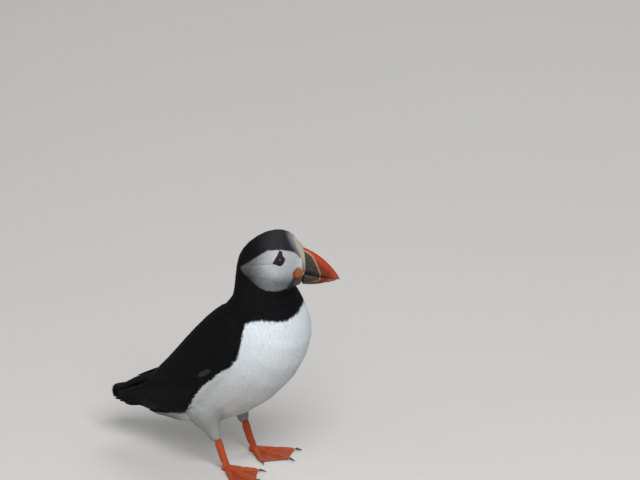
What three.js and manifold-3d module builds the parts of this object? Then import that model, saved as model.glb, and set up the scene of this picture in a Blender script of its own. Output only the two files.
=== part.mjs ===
// Life-size Atlantic puffin, standing. Millimetres, +X forward, +Y to the bird's left, +Z up.
// The plumage is part of each solid, so the solids reach to the feathers' outer surface.
import * as THREE from "three";
import { mergeVertices } from "three/addons/utils/BufferGeometryUtils.js";
import Module from "manifold-3d";

const wasm = await Module();
wasm.setup();

// ---- driving dimensions ------------------------------------------------------------------

const gap = 0.3; // clearance between neighbouring pieces

// Trunk and neck, tail end first: a point on the back, one on the belly, and half the width.
const trunkStations = [
  { back: [-114, 52], belly: [-112, 44], half: 9 },
  { back: [-98, 59], belly: [-95, 36], half: 15.5 },
  { back: [-80, 70], belly: [-72, 29.5], half: 23 },
  { back: [-62, 89], belly: [-43, 29], half: 31 },
  { back: [-42, 112], belly: [-8, 38.5], half: 38 },
  { back: [-23, 133], belly: [26, 59], half: 42.5 },
  { back: [-7, 149.5], belly: [52, 87], half: 45 },
  { back: [2, 161], belly: [64.5, 118], half: 42.5 },
  { back: [4, 171], belly: [62, 143], half: 34 },
  { back: [3, 181], belly: [54.5, 162], half: 27 },
  { back: [7, 192], belly: [47, 178], half: 22 },
  { back: [14, 203], belly: [42, 194], half: 14 },
];
const trunkSquareness = 2.15;

// Planes where the neck meets the white breast and where it meets the head.
const collar = { x: 34, z: 147.5, lean: -0.1 };
const throat = { x: 31, z: 166, lean: -0.1 };
const mantleDepth = 5; // how deep the black of the back runs into the trunk
const mantleEdge = -0.35; // height of its side edges, as a share of the trunk's half height
const undersideSquareness = 3;
const undersideSpare = { ends: 0.5, below: 20, sides: 8 }; // how far its form outruns the trunk

// Head, in its own frame: +X towards the bill, +Z up, origin in the middle of the skull.
const headCentre = new THREE.Vector3(31, 0, 190);
const headTurn = THREE.MathUtils.degToRad(32); // turned to the bird's left
const headDip = THREE.MathUtils.degToRad(10); // bill pointed a little down
const headStations = [
  { x: -26.5, crown: -4, chin: -13, half: 5 },
  { x: -24.6, crown: 4.4, chin: -17, half: 12 },
  { x: -19.8, crown: 13.4, chin: -21, half: 17 },
  { x: -11.5, crown: 22, chin: -24, half: 20.5 },
  { x: -2, crown: 28, chin: -25.5, half: 21.5 },
  { x: 8, crown: 30.2, chin: -25.5, half: 20.5 },
  { x: 16, crown: 28.6, chin: -23.8, half: 16.4 },
  { x: 22, crown: 23.6, chin: -21.2, half: 11.8 },
  { x: 27, crown: 18, chin: -18, half: 8.2 },
  { x: 31, crown: 12.5, chin: -14, half: 5.4 },
  { x: 33, crown: 8, chin: -9, half: 3 },
];
const headSquareness = 2.2;
const slabReach = 60; // from the head's middle out past either side, or past the bill

// Side outline of the pale cheeks: along the top from the back, then along the foot.
const cheekTop = [
  [-24, -4.5], [-21.5, -1.2], [-15, 6], [-6, 14.9], [4, 18.3], [12, 18], [20, 16], [25, 10.6],
];
const cheekReach = 20; // where the outline grows as much forward or back as it does up
const cheekFoot = [[24, -15], [14, -17.2], [2, -17.7], [-8, -14.9], [-16, -10.6], [-22, -6.6]];

// Bill, in the head's frame.
const billTip = { x: 63, z: -6 };
const culmenTop = 19.3; // height of the culmen at the base
const gapeLevel = -4; // height of the cutting edge at the base
const gonysLevel = -15; // height of the lower edge at the base
const billBaseX = 31.9; // the base at the gape
const billBaseSweep = 8; // how far the base leans back at the top
const billHalfWidth = 6.6;
const billEdgeWidth = 0.6; // half width left all the way to the tip
const billRootDepth = 3; // how far the bill is set into the head
const billSquareness = 2.6;
const overhang = 2.4; // how far the upper tip reaches past the lower
const tipHeights = { culmen: 1.2, gonys: -0.2 }; // of each jaw's outer edge, from the tip
const edgeCurves = { culmen: 1.6, gonys: 1.8 }; // powers: a larger one keeps straight for longer
const plateEdge = [
  [20, 16.4], [28.5, 15.3], [32.4, 14], [35.6, 11.8], [38.8, 8], [42.1, 3], [44.4, -1.4],
  [45.2, -6.6], [44.4, -19],
];
const plateFoot = -19; // the plate's outline reaches down to this, under the lower edge
const cereRadius = { top: 2.5, foot: 1.05 };
const cereCrest = 1.1; // how far its middle line passes over the culmen
const cereStand = { top: 2.8, foot: 1.2 }; // half width at the top, and clear of the bill below

const eyeRadius = 4.3;
const eyeSeat = { x: 7.8, y: 16.9, z: 8.8 };
const rosetteSeat = { x: 26, y: 9.4, z: -2.9 };
const rosetteSize = { length: 3.9, thickness: 2.4, height: 4.9 };
const rosetteLean = -0.45;

// Legs and feet.
const stance = { left: { x: -1, y: 25 }, right: { x: 1.5, y: -23.5 } }; // where each foot is joined
// From above each foot: reach ahead, reach out to the side, height.
const thighRun = [[-21, 3.5, 66], [-19, 3, 52], [-13.6, 1.4, 37], [-8, 0, 22]];
const thighSizes = [13, 18, 16.4, 10.6, 5.8, 4.2];
const thighFlatness = 0.86;
const tarsusRun = [[-8.4, 0, 27], [-6, 0, 19], [-2.3, 0, 9.5], [0, 0, 4]];
const tarsusSizes = [3.9, 3.9, 3.6, 3.7, 3.9];
const tarsusFlatness = 0.78;
const heelPad = { x: -1.2, z: 2.3, length: 5.4, width: 4, height: 3.3 };
const webThickness = 1;
const webLevel = 0.5; // its underside, above the floor
const webRun = { toe: 0.95, innerHollow: 28.5, outerHollow: 34 }; // share of each toe, then reaches
const toeHeights = [3.4, 2.4, 1.9, 1.8, 1.7]; // of the toe's middle line, from the joint
const toeFlatness = 0.9;
const clawRoot = 1.6; // how far a claw is set into its toe
const clawSize = { root: 1.45, point: 0.35, flatness: 0.72 };
const clawHeight = { root: 2.3, point: 0.75 };
const toeShapes = {
  inner: { length: 30, radius: 2.4, claw: 6 },
  middle: { length: 39.5, radius: 2.6, claw: 6 },
  outer: { length: 38, radius: 2.3, claw: 5.2 },
};
const toeTurns = {
  left: { inner: -43, middle: -4, outer: 30 }, // degrees from straight ahead, to the left
  right: { inner: 21, middle: -13, outer: -47 },
};

// Folded wings, over stations of their own that follow the trunk's and run on past it.
const wingBed = [
  { back: [-124, 48], belly: [-120, 33], half: 11.5 },
  { back: [-115, 54], belly: [-109, 28], half: 16 },
  ...trunkStations.slice(1, 10),
];
const wingRun = { tip: 0.2, shoulder: 8.5 };
const wingSpan = [
  { upper: 60, lower: -10, lift: 1.4 },
  { upper: 70, lower: -42, lift: 2.2 },
  { upper: 76, lower: -54, lift: 3 },
  { upper: 80, lower: -43, lift: 4 },
  { upper: 80, lower: -30, lift: 4.6 },
  { upper: 80, lower: -14, lift: 5 },
  { upper: 76, lower: -8, lift: 4.8 },
  { upper: 66, lower: 0, lift: 4 },
  { upper: 50, lower: 16, lift: 1.8 },
];
const wingDepth = 3; // how far its underside is sunk in the flank
const tail = { rootX: -86, rootZ: 59, tipX: -130, tipZ: 39.5, rootHalf: 15, tipHalf: 20 };
const tailThickness = 3.2;
const tailArch = 0.006; // droop of its sides, for each square millimetre from the middle

// How many faces each form has round it and along it.
const grids = {
  trunk: [20, 17],
  underside: [18, 14],
  head: [20, 14],
  jaw: [12, 10],
  cere: [6, 16],
  eye: [14, 9],
  socket: [8, 5],
  rosette: [9, 6],
  thigh: [11, 9],
  tarsus: [9, 7],
  heel: [9, 6],
  toe: [7, 8],
  claw: [6, 5],
  wing: [16, 14],
  tail: [14, 10],
};
const outlineSteps = { cheekTop: 9, cheekFoot: 7, plate: 8, web: 4 };

// ---- shared tools --------------------------------------------------------------------------

const { sin, cos, PI, abs, sign, min, max, sqrt, pow } = Math;
const lerp = THREE.MathUtils.lerp;
const radians = THREE.MathUtils.degToRad;

// A value eased through evenly spaced stations by a Catmull-Rom curve.
function eased(values, t) {
  const last = values.length - 1;
  const i = min(max(Math.floor(t), 0), last - 1);
  const f = t - i;
  const p1 = values[i];
  const p2 = values[i + 1];
  const p0 = i > 0 ? values[i - 1] : 2 * p1 - p2;
  const p3 = i + 2 <= last ? values[i + 2] : 2 * p2 - p1;
  const slope = (p2 - p0) * f;
  const bend = (2 * p0 - 5 * p1 + 4 * p2 - p3) * f * f;
  const turn = (3 * p1 - 3 * p2 + p3 - p0) * f * f * f;
  return 0.5 * (2 * p1 + slope + bend + turn);
}

// The sine or cosine of a superellipse, squarer as n grows past 2.
function squared(x, n) {
  return sign(x) * pow(abs(x), 2 / n);
}

// How full a rounded end is at v, where each end closes within its share of the length.
function rounded(v, share) {
  const near = min(v, 1 - v, share) / share;
  return sqrt(max(0, 1 - (1 - near) * (1 - near)));
}

// A closed form: a sphere's grid laid over place(v, a), v from end to end and a round it.
function form(place, [round, lengthwise]) {
  const geometry = new THREE.SphereGeometry(1, round, lengthwise);
  const spots = geometry.getAttribute("position");
  const uv = geometry.getAttribute("uv");
  for (let i = 0; i < spots.count; i++) {
    const row = Math.round(uv.getY(i) * lengthwise) / lengthwise;
    const atPole = row === 0 || row === 1;
    const column = Math.round(uv.getX(i) * round) % round; // the seam's two edges share a place
    const p = place(row, atPole ? 0 : (2 * PI * column) / round);
    spots.setXYZ(i, p.x, p.y, p.z);
  }
  return geometry;
}

function signedVolume(spots, corners) {
  const [a, b, c] = [new THREE.Vector3(), new THREE.Vector3(), new THREE.Vector3()];
  let total = 0;
  for (let i = 0; i < corners.length; i += 3) {
    a.fromArray(spots, 3 * corners[i]);
    b.fromArray(spots, 3 * corners[i + 1]);
    c.fromArray(spots, 3 * corners[i + 2]);
    total += a.dot(b.cross(c));
  }
  return total / 6;
}

// A manifold solid from a closed geometry, with its faces turned outwards.
function solid(geometry, matrix = new THREE.Matrix4()) {
  const bare = new THREE.BufferGeometry();
  const whole = geometry.index ? geometry.toNonIndexed() : geometry;
  bare.setAttribute("position", whole.getAttribute("position").clone());
  bare.applyMatrix4(matrix);
  const merged = mergeVertices(bare, 1e-3);
  const corners = merged.index.array;
  const triVerts = [];
  for (let i = 0; i < corners.length; i += 3) {
    const [a, b, c] = [corners[i], corners[i + 1], corners[i + 2]];
    if (a !== b && b !== c && c !== a) triVerts.push(a, b, c);
  }
  const vertProperties = merged.getAttribute("position").array;
  if (signedVolume(vertProperties, triVerts) < 0) triVerts.reverse();
  const mesh = { numProp: 3, vertProperties, triVerts: new Uint32Array(triVerts) };
  return new wasm.Manifold(new wasm.Mesh(mesh));
}

// The largest body of a cut solid, so that no crumb is left beside it.
function mainBody(made) {
  return made.decompose().reduce((a, b) => (a.volume() > b.volume() ? a : b));
}

// The part of a solid on the side of a plane that its normal points to.
function keptBeyond(made, point, normal) {
  const reach = 400; // the half space is a box larger than the bird
  const out = normal.clone().normalize();
  const turn = new THREE.Quaternion().setFromUnitVectors(new THREE.Vector3(0, 0, 1), out);
  const centre = point.clone().addScaledVector(out, (reach + gap) / 2);
  const place = new THREE.Matrix4().compose(centre, turn, new THREE.Vector3(1, 1, 1));
  return made.intersect(solid(new THREE.BoxGeometry(reach, reach, reach), place));
}

const puffin = new THREE.Group();

function addPiece(name, made, material) {
  const found = mainBody(made).getMesh();
  const geometry = new THREE.BufferGeometry();
  const spots = new Float32Array(found.numVert * 3);
  for (let i = 0; i < found.numVert; i++) {
    const start = i * found.numProp;
    spots.set(found.vertProperties.subarray(start, start + 3), i * 3);
  }
  geometry.setAttribute("position", new THREE.BufferAttribute(spots, 3));
  geometry.setIndex(new THREE.BufferAttribute(found.triVerts, 1));
  geometry.computeVertexNormals();
  const mesh = new THREE.Mesh(geometry, material);
  mesh.name = name;
  puffin.add(mesh);
}

function finish(color, roughness) {
  return new THREE.MeshStandardMaterial({ color, roughness, metalness: 0 });
}

const materials = {
  blackPlumage: finish(0x171618, 0.85),
  whitePlumage: finish(0xe2e5ea, 0.85),
  greyPlumage: finish(0xb4b6b8, 0.85),
  bill: finish(0xd9481a, 0.45),
  billPlate: finish(0x3a3b42, 0.5),
  cere: finish(0xc2b890, 0.6),
  rosette: finish(0xe0801c, 0.6),
  eye: finish(0x1c1210, 0.1),
  foot: finish(0xd9521f, 0.55),
  claw: finish(0x1d1a18, 0.4),
};

// ---- trunk and neck --------------------------------------------------------------------------

// The cross-section at a station: its centre, the way up it, and its half sizes.
function section(stations, t) {
  const read = (side, axis) => eased(stations.map((s) => s[side][axis]), t);
  const back = new THREE.Vector3(read("back", 0), 0, read("back", 1));
  const belly = new THREE.Vector3(read("belly", 0), 0, read("belly", 1));
  const up = back.clone().sub(belly);
  return {
    centre: back.clone().add(belly).multiplyScalar(0.5),
    halfHeight: up.length() / 2,
    halfWidth: eased(stations.map((s) => s.half), t),
    up: up.normalize(),
  };
}

// A point on the skin, or outside it by grow. Angle 0 is the left flank and 90 degrees the back.
function skinPoint(stations, t, angle, grow = 0) {
  const s = section(stations, t);
  const across = squared(cos(angle), trunkSquareness) * (s.halfWidth + grow);
  const rise = squared(sin(angle), trunkSquareness) * (s.halfHeight + grow);
  return s.centre.clone().addScaledVector(s.up, rise).add(new THREE.Vector3(0, across, 0));
}

function trunkSolid(grow = 0) {
  const last = trunkStations.length - 1;
  const place = (v, a) => {
    if (v === 0 || v === 1) return section(trunkStations, last * v).centre;
    return skinPoint(trunkStations, last * v, a, grow);
  };
  return solid(form(place, grids.trunk));
}

// What lies under the black of the back: the trunk's run without its top layer, wide all round.
function undersideSolid(grow = 0) {
  const last = trunkStations.length - 1;
  const place = (v, a) => {
    const s = section(trunkStations, lerp(-undersideSpare.ends, last + undersideSpare.ends, v));
    if (v === 0 || v === 1) return s.centre;
    const edge = mantleEdge * s.halfHeight;
    const top = s.halfHeight - mantleDepth + grow - edge;
    const foot = s.halfHeight + edge + undersideSpare.below;
    const rise = edge + sin(a) * (sin(a) > 0 ? top : foot);
    const across = squared(cos(a), undersideSquareness) * (s.halfWidth + undersideSpare.sides);
    return s.centre.addScaledVector(s.up, rise).add(new THREE.Vector3(0, across, 0));
  };
  return solid(form(place, grids.underside));
}

// ---- head --------------------------------------------------------------------------------------

const headPlace = new THREE.Matrix4().compose(
  headCentre,
  new THREE.Quaternion().setFromEuler(new THREE.Euler(0, headDip, headTurn, "ZYX")),
  new THREE.Vector3(1, 1, 1),
);

function headSolid() {
  const last = headStations.length - 1;
  const place = (v, a) => {
    const read = (key) => eased(headStations.map((s) => s[key]), v * last);
    const middle = (read("crown") + read("chin")) / 2;
    if (v === 0 || v === 1) return new THREE.Vector3(read("x"), 0, middle);
    const y = squared(cos(a), headSquareness) * read("half");
    const rise = (squared(sin(a), headSquareness) * (read("crown") - read("chin"))) / 2;
    return new THREE.Vector3(read("x"), y, middle + rise);
  };
  return solid(form(place, grids.head), headPlace);
}

// A slab right through the head from side to side, under a closed outline in the head's frame.
function headSlab(outline) {
  const shape = new THREE.Shape(outline.map(([x, z]) => new THREE.Vector2(x, z)));
  const slab = new THREE.ExtrudeGeometry(shape, { depth: 2 * slabReach, bevelEnabled: false });
  slab.rotateX(PI / 2);
  slab.translate(0, slabReach, 0);
  return solid(slab, headPlace);
}

// Points along a smooth curve through a few.
function smoothed(points, count) {
  const curve = new THREE.SplineCurve(points.map(([x, z]) => new THREE.Vector2(x, z)));
  return curve.getPoints(count).map((p) => [p.x, p.y]);
}

function cheekSlab(grow = 0) {
  const spread = (x) => x + (grow * x) / cheekReach;
  const top = smoothed(cheekTop, outlineSteps.cheekTop).map(([x, z]) => [spread(x), z + grow]);
  const foot = smoothed(cheekFoot, outlineSteps.cheekFoot).map(([x, z]) => [spread(x), z - grow]);
  return headSlab([...top, [slabReach, top.at(-1)[1]], [slabReach, foot[0][1]], ...foot]);
}

// ---- bill ----------------------------------------------------------------------------------------

// Where the bill meets the feathers at a height: the base leans back towards the forehead.
function billBase(z) {
  return billBaseX - billBaseSweep * pow(max(z - gapeLevel, 0) / (culmenTop - gapeLevel), 2);
}

// Height of the culmen, cutting edge or lower edge at a share of the way to the tip.
const billEdges = {
  culmen: (v) => lerp(culmenTop, billTip.z + tipHeights.culmen, pow(v, edgeCurves.culmen)),
  tomium: (v) => lerp(gapeLevel, billTip.z, v * v * (3 - 2 * v)),
  gonys: (v) => lerp(gonysLevel, billTip.z + tipHeights.gonys, pow(v, edgeCurves.gonys)),
};

// One jaw of the bill. Its section is widest at the cutting edge and narrow at the other.
function jawSolid(upper, grow = 0) {
  const free = upper ? billEdges.culmen : billEdges.gonys;
  const away = upper ? 1 : -1;
  const place = (v, a) => {
    const atEnd = v === 0 || v === 1;
    const bite = billEdges.tomium(v) + away * (gap / 2 - grow);
    const edge = free(v) + away * grow;
    const nearEdge = (squared(sin(a), billSquareness) + 1) / 2;
    const z = atEnd ? (bite + edge) / 2 : lerp(bite, edge, nearEdge);
    const taper = lerp(1, 0.3, pow(nearEdge, 1.2)) * pow(1 - pow(v, 2.2), 0.75);
    const half = billHalfWidth * taper + billEdgeWidth + grow;
    const y = atEnd ? 0 : squared(cos(a), billSquareness) * half;
    const start = billBase(upper ? z : gapeLevel) - billRootDepth - grow;
    const end = billTip.x - (upper ? 0 : overhang) + grow;
    return new THREE.Vector3(lerp(start, end, v), y, z);
  };
  return solid(form(place, grids.jaw), headPlace);
}

// The outline of the dark plate at the bill's root, seen from the side.
function plateSlab(grow = 0) {
  const edge = smoothed(plateEdge, outlineSteps.plate).map(([x, z]) => [x + grow, z + grow / 2]);
  return headSlab([...edge, [0, plateFoot], [0, plateEdge[0][1]]]);
}

// The pale ridge of bare skin over the root of the upper bill, from gape to gape.
function cereSolid(grow = 0) {
  const place = (v, a) => {
    const turn = lerp(-0.02, 1.02, v) * PI;
    const high = pow(abs(sin(turn)), 0.9);
    const z = lerp(gapeLevel + 1, culmenTop + cereCrest, high);
    const y = lerp(billHalfWidth + cereStand.foot, cereStand.top, high * high) * cos(turn);
    const radius = lerp(cereRadius.foot, cereRadius.top, high * high) + grow;
    const reach = radius * rounded(v, 0.06);
    const p = new THREE.Vector3(billBase(z) - 1, y, z);
    const out = new THREE.Vector3(0, cos(turn), sin(turn));
    p.addScaledVector(out, 0.8 * reach * cos(a));
    return p.add(new THREE.Vector3(reach * sin(a), 0, 0));
  };
  return solid(form(place, grids.cere), headPlace);
}

// ---- eyes and rosettes ------------------------------------------------------------------------

function onHead(side, seat, turn = 0) {
  const spot = new THREE.Matrix4().makeTranslation(seat.x, side * seat.y, seat.z);
  return headPlace.clone().multiply(spot).multiply(new THREE.Matrix4().makeRotationY(turn));
}

function eyeSolid(side) {
  return solid(new THREE.SphereGeometry(eyeRadius, ...grids.eye), onHead(side, eyeSeat));
}

// The room an eye sits in, a coarser ball that clears it all round.
function eyeSocket(side) {
  const room = new THREE.SphereGeometry(eyeRadius + 2.5 * gap, ...grids.socket);
  return solid(room, onHead(side, eyeSeat));
}

// The folded orange skin at the corner of the mouth.
function rosetteSolid(side, grow = 0) {
  const { length, thickness, height } = rosetteSize;
  const ball = new THREE.SphereGeometry(1, ...grids.rosette);
  ball.scale(length + grow, thickness + grow, height + grow);
  return solid(ball, onHead(side, rosetteSeat, -rosetteLean));
}

// ---- legs and feet -------------------------------------------------------------------------------

// A limb swept along a curve, its half sizes read from stations along it.
function limb(points, sizes, flatness, share, grow, grid) {
  const curve = new THREE.CatmullRomCurve3(points.map((p) => new THREE.Vector3(...p)));
  const place = (v, a) => {
    const p = curve.getPoint(v);
    const along = curve.getTangent(v);
    const fore = new THREE.Vector3(0, 1, 0).cross(along).normalize();
    const out = along.clone().cross(fore);
    const size = (eased(sizes, v * (sizes.length - 1)) + grow) * rounded(v, share);
    p.addScaledVector(fore, size * cos(a));
    return p.addScaledVector(out, size * flatness * sin(a));
  };
  return form(place, grid);
}

// Each leg is modelled with its foot's joint over the origin and placed at its own stance.
const legPlace = {
  left: new THREE.Matrix4().makeTranslation(stance.left.x, stance.left.y, 0),
  right: new THREE.Matrix4().makeTranslation(stance.right.x, stance.right.y, 0),
};

function thighSolid(side) {
  const hand = side === "left" ? 1 : -1;
  const run = thighRun.map(([x, out, z]) => [x, hand * out, z]);
  return solid(limb(run, thighSizes, thighFlatness, 0.1, 0, grids.thigh), legPlace[side]);
}

function tarsusSolid(side, grow = 0) {
  const shape = limb(tarsusRun, tarsusSizes, tarsusFlatness, 0.12, grow, grids.tarsus);
  return solid(shape, legPlace[side]);
}

// A point on the ground plan of a foot, at a reach from the joint and a turn from straight ahead.
function planPoint(reach, degrees) {
  const turn = radians(degrees);
  return new THREE.Vector2(reach * cos(turn), reach * sin(turn));
}

// A toe from the joint to its tip, swelling a little at each of its pads.
function toeSolid(side, name) {
  const toe = toeShapes[name];
  const degrees = toeTurns[side][name];
  const points = toeHeights.map((z, i) => {
    const spot = planPoint((toe.length * i) / (toeHeights.length - 1), degrees);
    return new THREE.Vector3(spot.x, spot.y, z);
  });
  const curve = new THREE.CatmullRomCurve3(points);
  const place = (v, a) => {
    const p = curve.getPoint(v);
    const along = curve.getTangent(v);
    const across = new THREE.Vector3(0, 0, 1).cross(along).normalize();
    const pad = 1 + 0.1 * cos(v * PI * 6);
    const size = toe.radius * pad * lerp(1.15, 0.85, v) * rounded(v, 0.1);
    p.addScaledVector(across, size * cos(a));
    return p.add(new THREE.Vector3(0, 0, size * toeFlatness * sin(a)));
  };
  return solid(form(place, grids.toe), legPlace[side]);
}

// A curved claw beyond a toe's tip, its point just clear of the ground.
function clawSolid(side, name, grow = 0) {
  const toe = toeShapes[name];
  const degrees = toeTurns[side][name];
  const place = (v, a) => {
    const reach = lerp(toe.length - clawRoot, toe.length + toe.claw + grow, v);
    const spot = planPoint(reach, degrees);
    const size = (lerp(clawSize.root, clawSize.point, pow(v, 0.8)) + grow) * rounded(v, 0.12);
    const z = lerp(clawHeight.root, clawHeight.point, v * v);
    const turn = radians(degrees);
    const across = clawSize.flatness * size * cos(a);
    const x = spot.x - across * sin(turn);
    const y = spot.y + across * cos(turn);
    return new THREE.Vector3(x, y, z + size * sin(a));
  };
  return solid(form(place, grids.claw), legPlace[side]);
}

// The web between the toes, hollowed along its front edges.
function webSolid(side) {
  const turns = toeTurns[side];
  const order = ["inner", "middle", "outer"];
  const tips = order.map((name) => planPoint(toeShapes[name].length * webRun.toe, turns[name]));
  const shape = new THREE.Shape();
  const heel = planPoint(0, 0);
  shape.moveTo(heel.x, heel.y);
  shape.lineTo(tips[0].x, tips[0].y);
  for (const i of [0, 1]) {
    const middle = (turns[order[i]] + turns[order[i + 1]]) / 2;
    const hollow = planPoint(i === 0 ? webRun.innerHollow : webRun.outerHollow, middle);
    shape.quadraticCurveTo(hollow.x, hollow.y, tips[i + 1].x, tips[i + 1].y);
  }
  const options = { depth: webThickness, bevelEnabled: false, curveSegments: outlineSteps.web };
  const web = new THREE.ExtrudeGeometry(shape, options);
  web.translate(0, 0, webLevel);
  return solid(web, legPlace[side]);
}

// A whole foot standing on flats at floor level, without its claws.
function footSolid(side) {
  const heel = new THREE.SphereGeometry(1, ...grids.heel);
  heel.scale(heelPad.length, heelPad.width, heelPad.height);
  heel.translate(heelPad.x, 0, heelPad.z);
  let foot = webSolid(side).add(solid(heel, legPlace[side]));
  for (const name of Object.keys(toeShapes)) {
    foot = foot.add(toeSolid(side, name)).subtract(clawSolid(side, name, gap));
  }
  const up = new THREE.Vector3(0, 0, 1);
  const standing = keptBeyond(foot, new THREE.Vector3(0, 0, -gap / 2), up);
  return standing.subtract(tarsusSolid(side, gap));
}

// ---- wings and tail ------------------------------------------------------------------------------

const sidePlace = {
  left: new THREE.Matrix4(),
  right: new THREE.Matrix4().makeScale(1, -1, 1),
};

// A folded wing lying on the flank, thick along its middle and thin at its edges.
function wingSolid(side, grow = 0) {
  const last = wingSpan.length - 1;
  const place = (v, a) => {
    const t = lerp(wingRun.tip - 0.05 * grow, wingRun.shoulder + 0.05 * grow, v);
    const read = (key) => eased(wingSpan.map((s) => s[key]), v * last);
    const half = ((read("upper") - read("lower")) / 2 + 3 * grow) * rounded(v, 0.16);
    const angle = radians((read("upper") + read("lower")) / 2 + half * cos(a));
    const lift = sin(a) > 0 ? (read("lift") + grow) * sqrt(sin(a)) : wingDepth * sin(a);
    return skinPoint(wingBed, t, angle, lift);
  };
  return solid(form(place, grids.wing), sidePlace[side]);
}

// The short tail: a shallow arch across, rounded at its end.
function tailSolid(grow = 0) {
  const slope = new THREE.Vector3(tail.tipX - tail.rootX, 0, tail.tipZ - tail.rootZ);
  const normal = new THREE.Vector3(slope.z, 0, -slope.x).normalize();
  const place = (v, a) => {
    const run = 1 - pow(1 - v, 1.4);
    const x = lerp(tail.rootX + 2 * grow, tail.tipX - 2 * grow, run);
    const z = lerp(tail.rootZ + grow, tail.tipZ - grow, run);
    const half = (lerp(tail.rootHalf, tail.tipHalf, v) + 2 * grow) * rounded(v, 0.3);
    const y = half * cos(a);
    const arch = -tailArch * y * y;
    const thick = (tailThickness / 2 + grow) * lerp(1.5, 0.8, v) * rounded(v, 0.12) * sin(a);
    return new THREE.Vector3(x, y, z).addScaledVector(normal, arch + thick);
  };
  return solid(form(place, grids.tail));
}

// ---- the bird put together ---------------------------------------------------------------------

const trunkWhole = trunkSolid();
const trunkRoom = trunkSolid(gap);
const body = trunkWhole.add(headSolid());
const collarPoint = new THREE.Vector3(collar.x, 0, collar.z);
const collarUp = new THREE.Vector3(collar.lean, 0, 1);
const throatPoint = new THREE.Vector3(throat.x, 0, throat.z);
const throatUp = new THREE.Vector3(throat.lean, 0, 1);

const aboveCollar = keptBeyond(body, collarPoint, collarUp);
const trunkPart = keptBeyond(trunkWhole, collarPoint, collarUp.clone().negate());
const neck = keptBeyond(aboveCollar, throatPoint, throatUp.clone().negate());
const headPart = keptBeyond(aboveCollar, throatPoint, throatUp);

const tailPart = tailSolid();
const tailRoom = tailSolid(gap);
const breast = trunkPart.intersect(undersideSolid()).subtract(tailRoom);
const back = trunkPart.subtract(undersideSolid(gap)).subtract(tailRoom);
addPiece("trunk_breast", breast, materials.whitePlumage);
addPiece("trunk_back", back, materials.blackPlumage);
addPiece("neck", neck, materials.blackPlumage);

const jaws = { upper: jawSolid(true), lower: jawSolid(false) };
const mouthRoom = jawSolid(true, gap).add(jawSolid(false, gap)).add(cereSolid(gap));
let skull = headPart.subtract(mouthRoom);
for (const side of [-1, 1]) {
  skull = skull.subtract(eyeSocket(side)).subtract(rosetteSolid(side, gap));
}
addPiece("head_hood", skull.subtract(cheekSlab(gap)), materials.blackPlumage);
addPiece("head_face", skull.intersect(cheekSlab()), materials.greyPlumage);

for (const [name, jaw] of Object.entries(jaws)) {
  addPiece(`${name}_bill`, jaw.subtract(plateSlab(gap)), materials.bill);
  addPiece(`${name}_bill_plate`, jaw.intersect(plateSlab()), materials.billPlate);
}
const bothJaws = jawSolid(true, gap).add(jawSolid(false, gap));
addPiece("cere", cereSolid().subtract(bothJaws), materials.cere);

for (const side of ["left", "right"]) {
  const hand = side === "left" ? 1 : -1;
  addPiece(`eye_${side}`, eyeSolid(hand), materials.eye);
  const rosette = rosetteSolid(hand).subtract(bothJaws).subtract(cereSolid(gap));
  addPiece(`rosette_${side}`, rosette, materials.rosette);

  const wing = wingSolid(side).subtract(trunkRoom).subtract(tailRoom);
  addPiece(`wing_${side}`, wing, materials.blackPlumage);
  const tarsusRoom = tarsusSolid(side, gap);
  const thigh = thighSolid(side).subtract(trunkRoom).subtract(wingSolid(side, gap));
  addPiece(`thigh_${side}`, thigh.subtract(tarsusRoom), materials.whitePlumage);
  addPiece(`tarsus_${side}`, tarsusSolid(side), materials.foot);
  addPiece(`foot_${side}`, footSolid(side), materials.foot);
  for (const name of Object.keys(toeShapes)) {
    addPiece(`claw_${name}_${side}`, clawSolid(side, name), materials.claw);
  }
}
addPiece("tail", tailPart, materials.blackPlumage);

// The frame's origin lies on the floor under the middle of the bird's extents.
const middle = new THREE.Box3().setFromObject(puffin).getCenter(new THREE.Vector3());
puffin.position.set(-middle.x, -middle.y, 0);

export default puffin;
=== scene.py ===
import math

import bmesh
import bpy
import numpy as np
from mathutils import Matrix, Vector
from mathutils.bvhtree import BVHTree


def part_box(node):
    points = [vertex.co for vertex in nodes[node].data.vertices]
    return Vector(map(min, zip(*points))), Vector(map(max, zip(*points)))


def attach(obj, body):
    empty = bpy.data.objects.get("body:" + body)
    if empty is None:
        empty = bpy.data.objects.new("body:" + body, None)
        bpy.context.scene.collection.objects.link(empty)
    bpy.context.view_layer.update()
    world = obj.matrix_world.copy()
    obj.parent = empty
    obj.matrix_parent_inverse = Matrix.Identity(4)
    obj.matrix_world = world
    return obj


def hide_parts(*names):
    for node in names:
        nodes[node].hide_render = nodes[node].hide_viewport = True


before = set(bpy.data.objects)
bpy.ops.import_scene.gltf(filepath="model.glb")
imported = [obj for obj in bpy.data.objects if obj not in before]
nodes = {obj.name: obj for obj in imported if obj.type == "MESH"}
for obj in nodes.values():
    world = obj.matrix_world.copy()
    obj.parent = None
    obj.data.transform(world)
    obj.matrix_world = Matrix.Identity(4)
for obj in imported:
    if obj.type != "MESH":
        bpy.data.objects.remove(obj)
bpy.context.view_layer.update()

mm = 0.001
rng = np.random.default_rng(11)
sides = {"left": 1, "right": -1}


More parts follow.
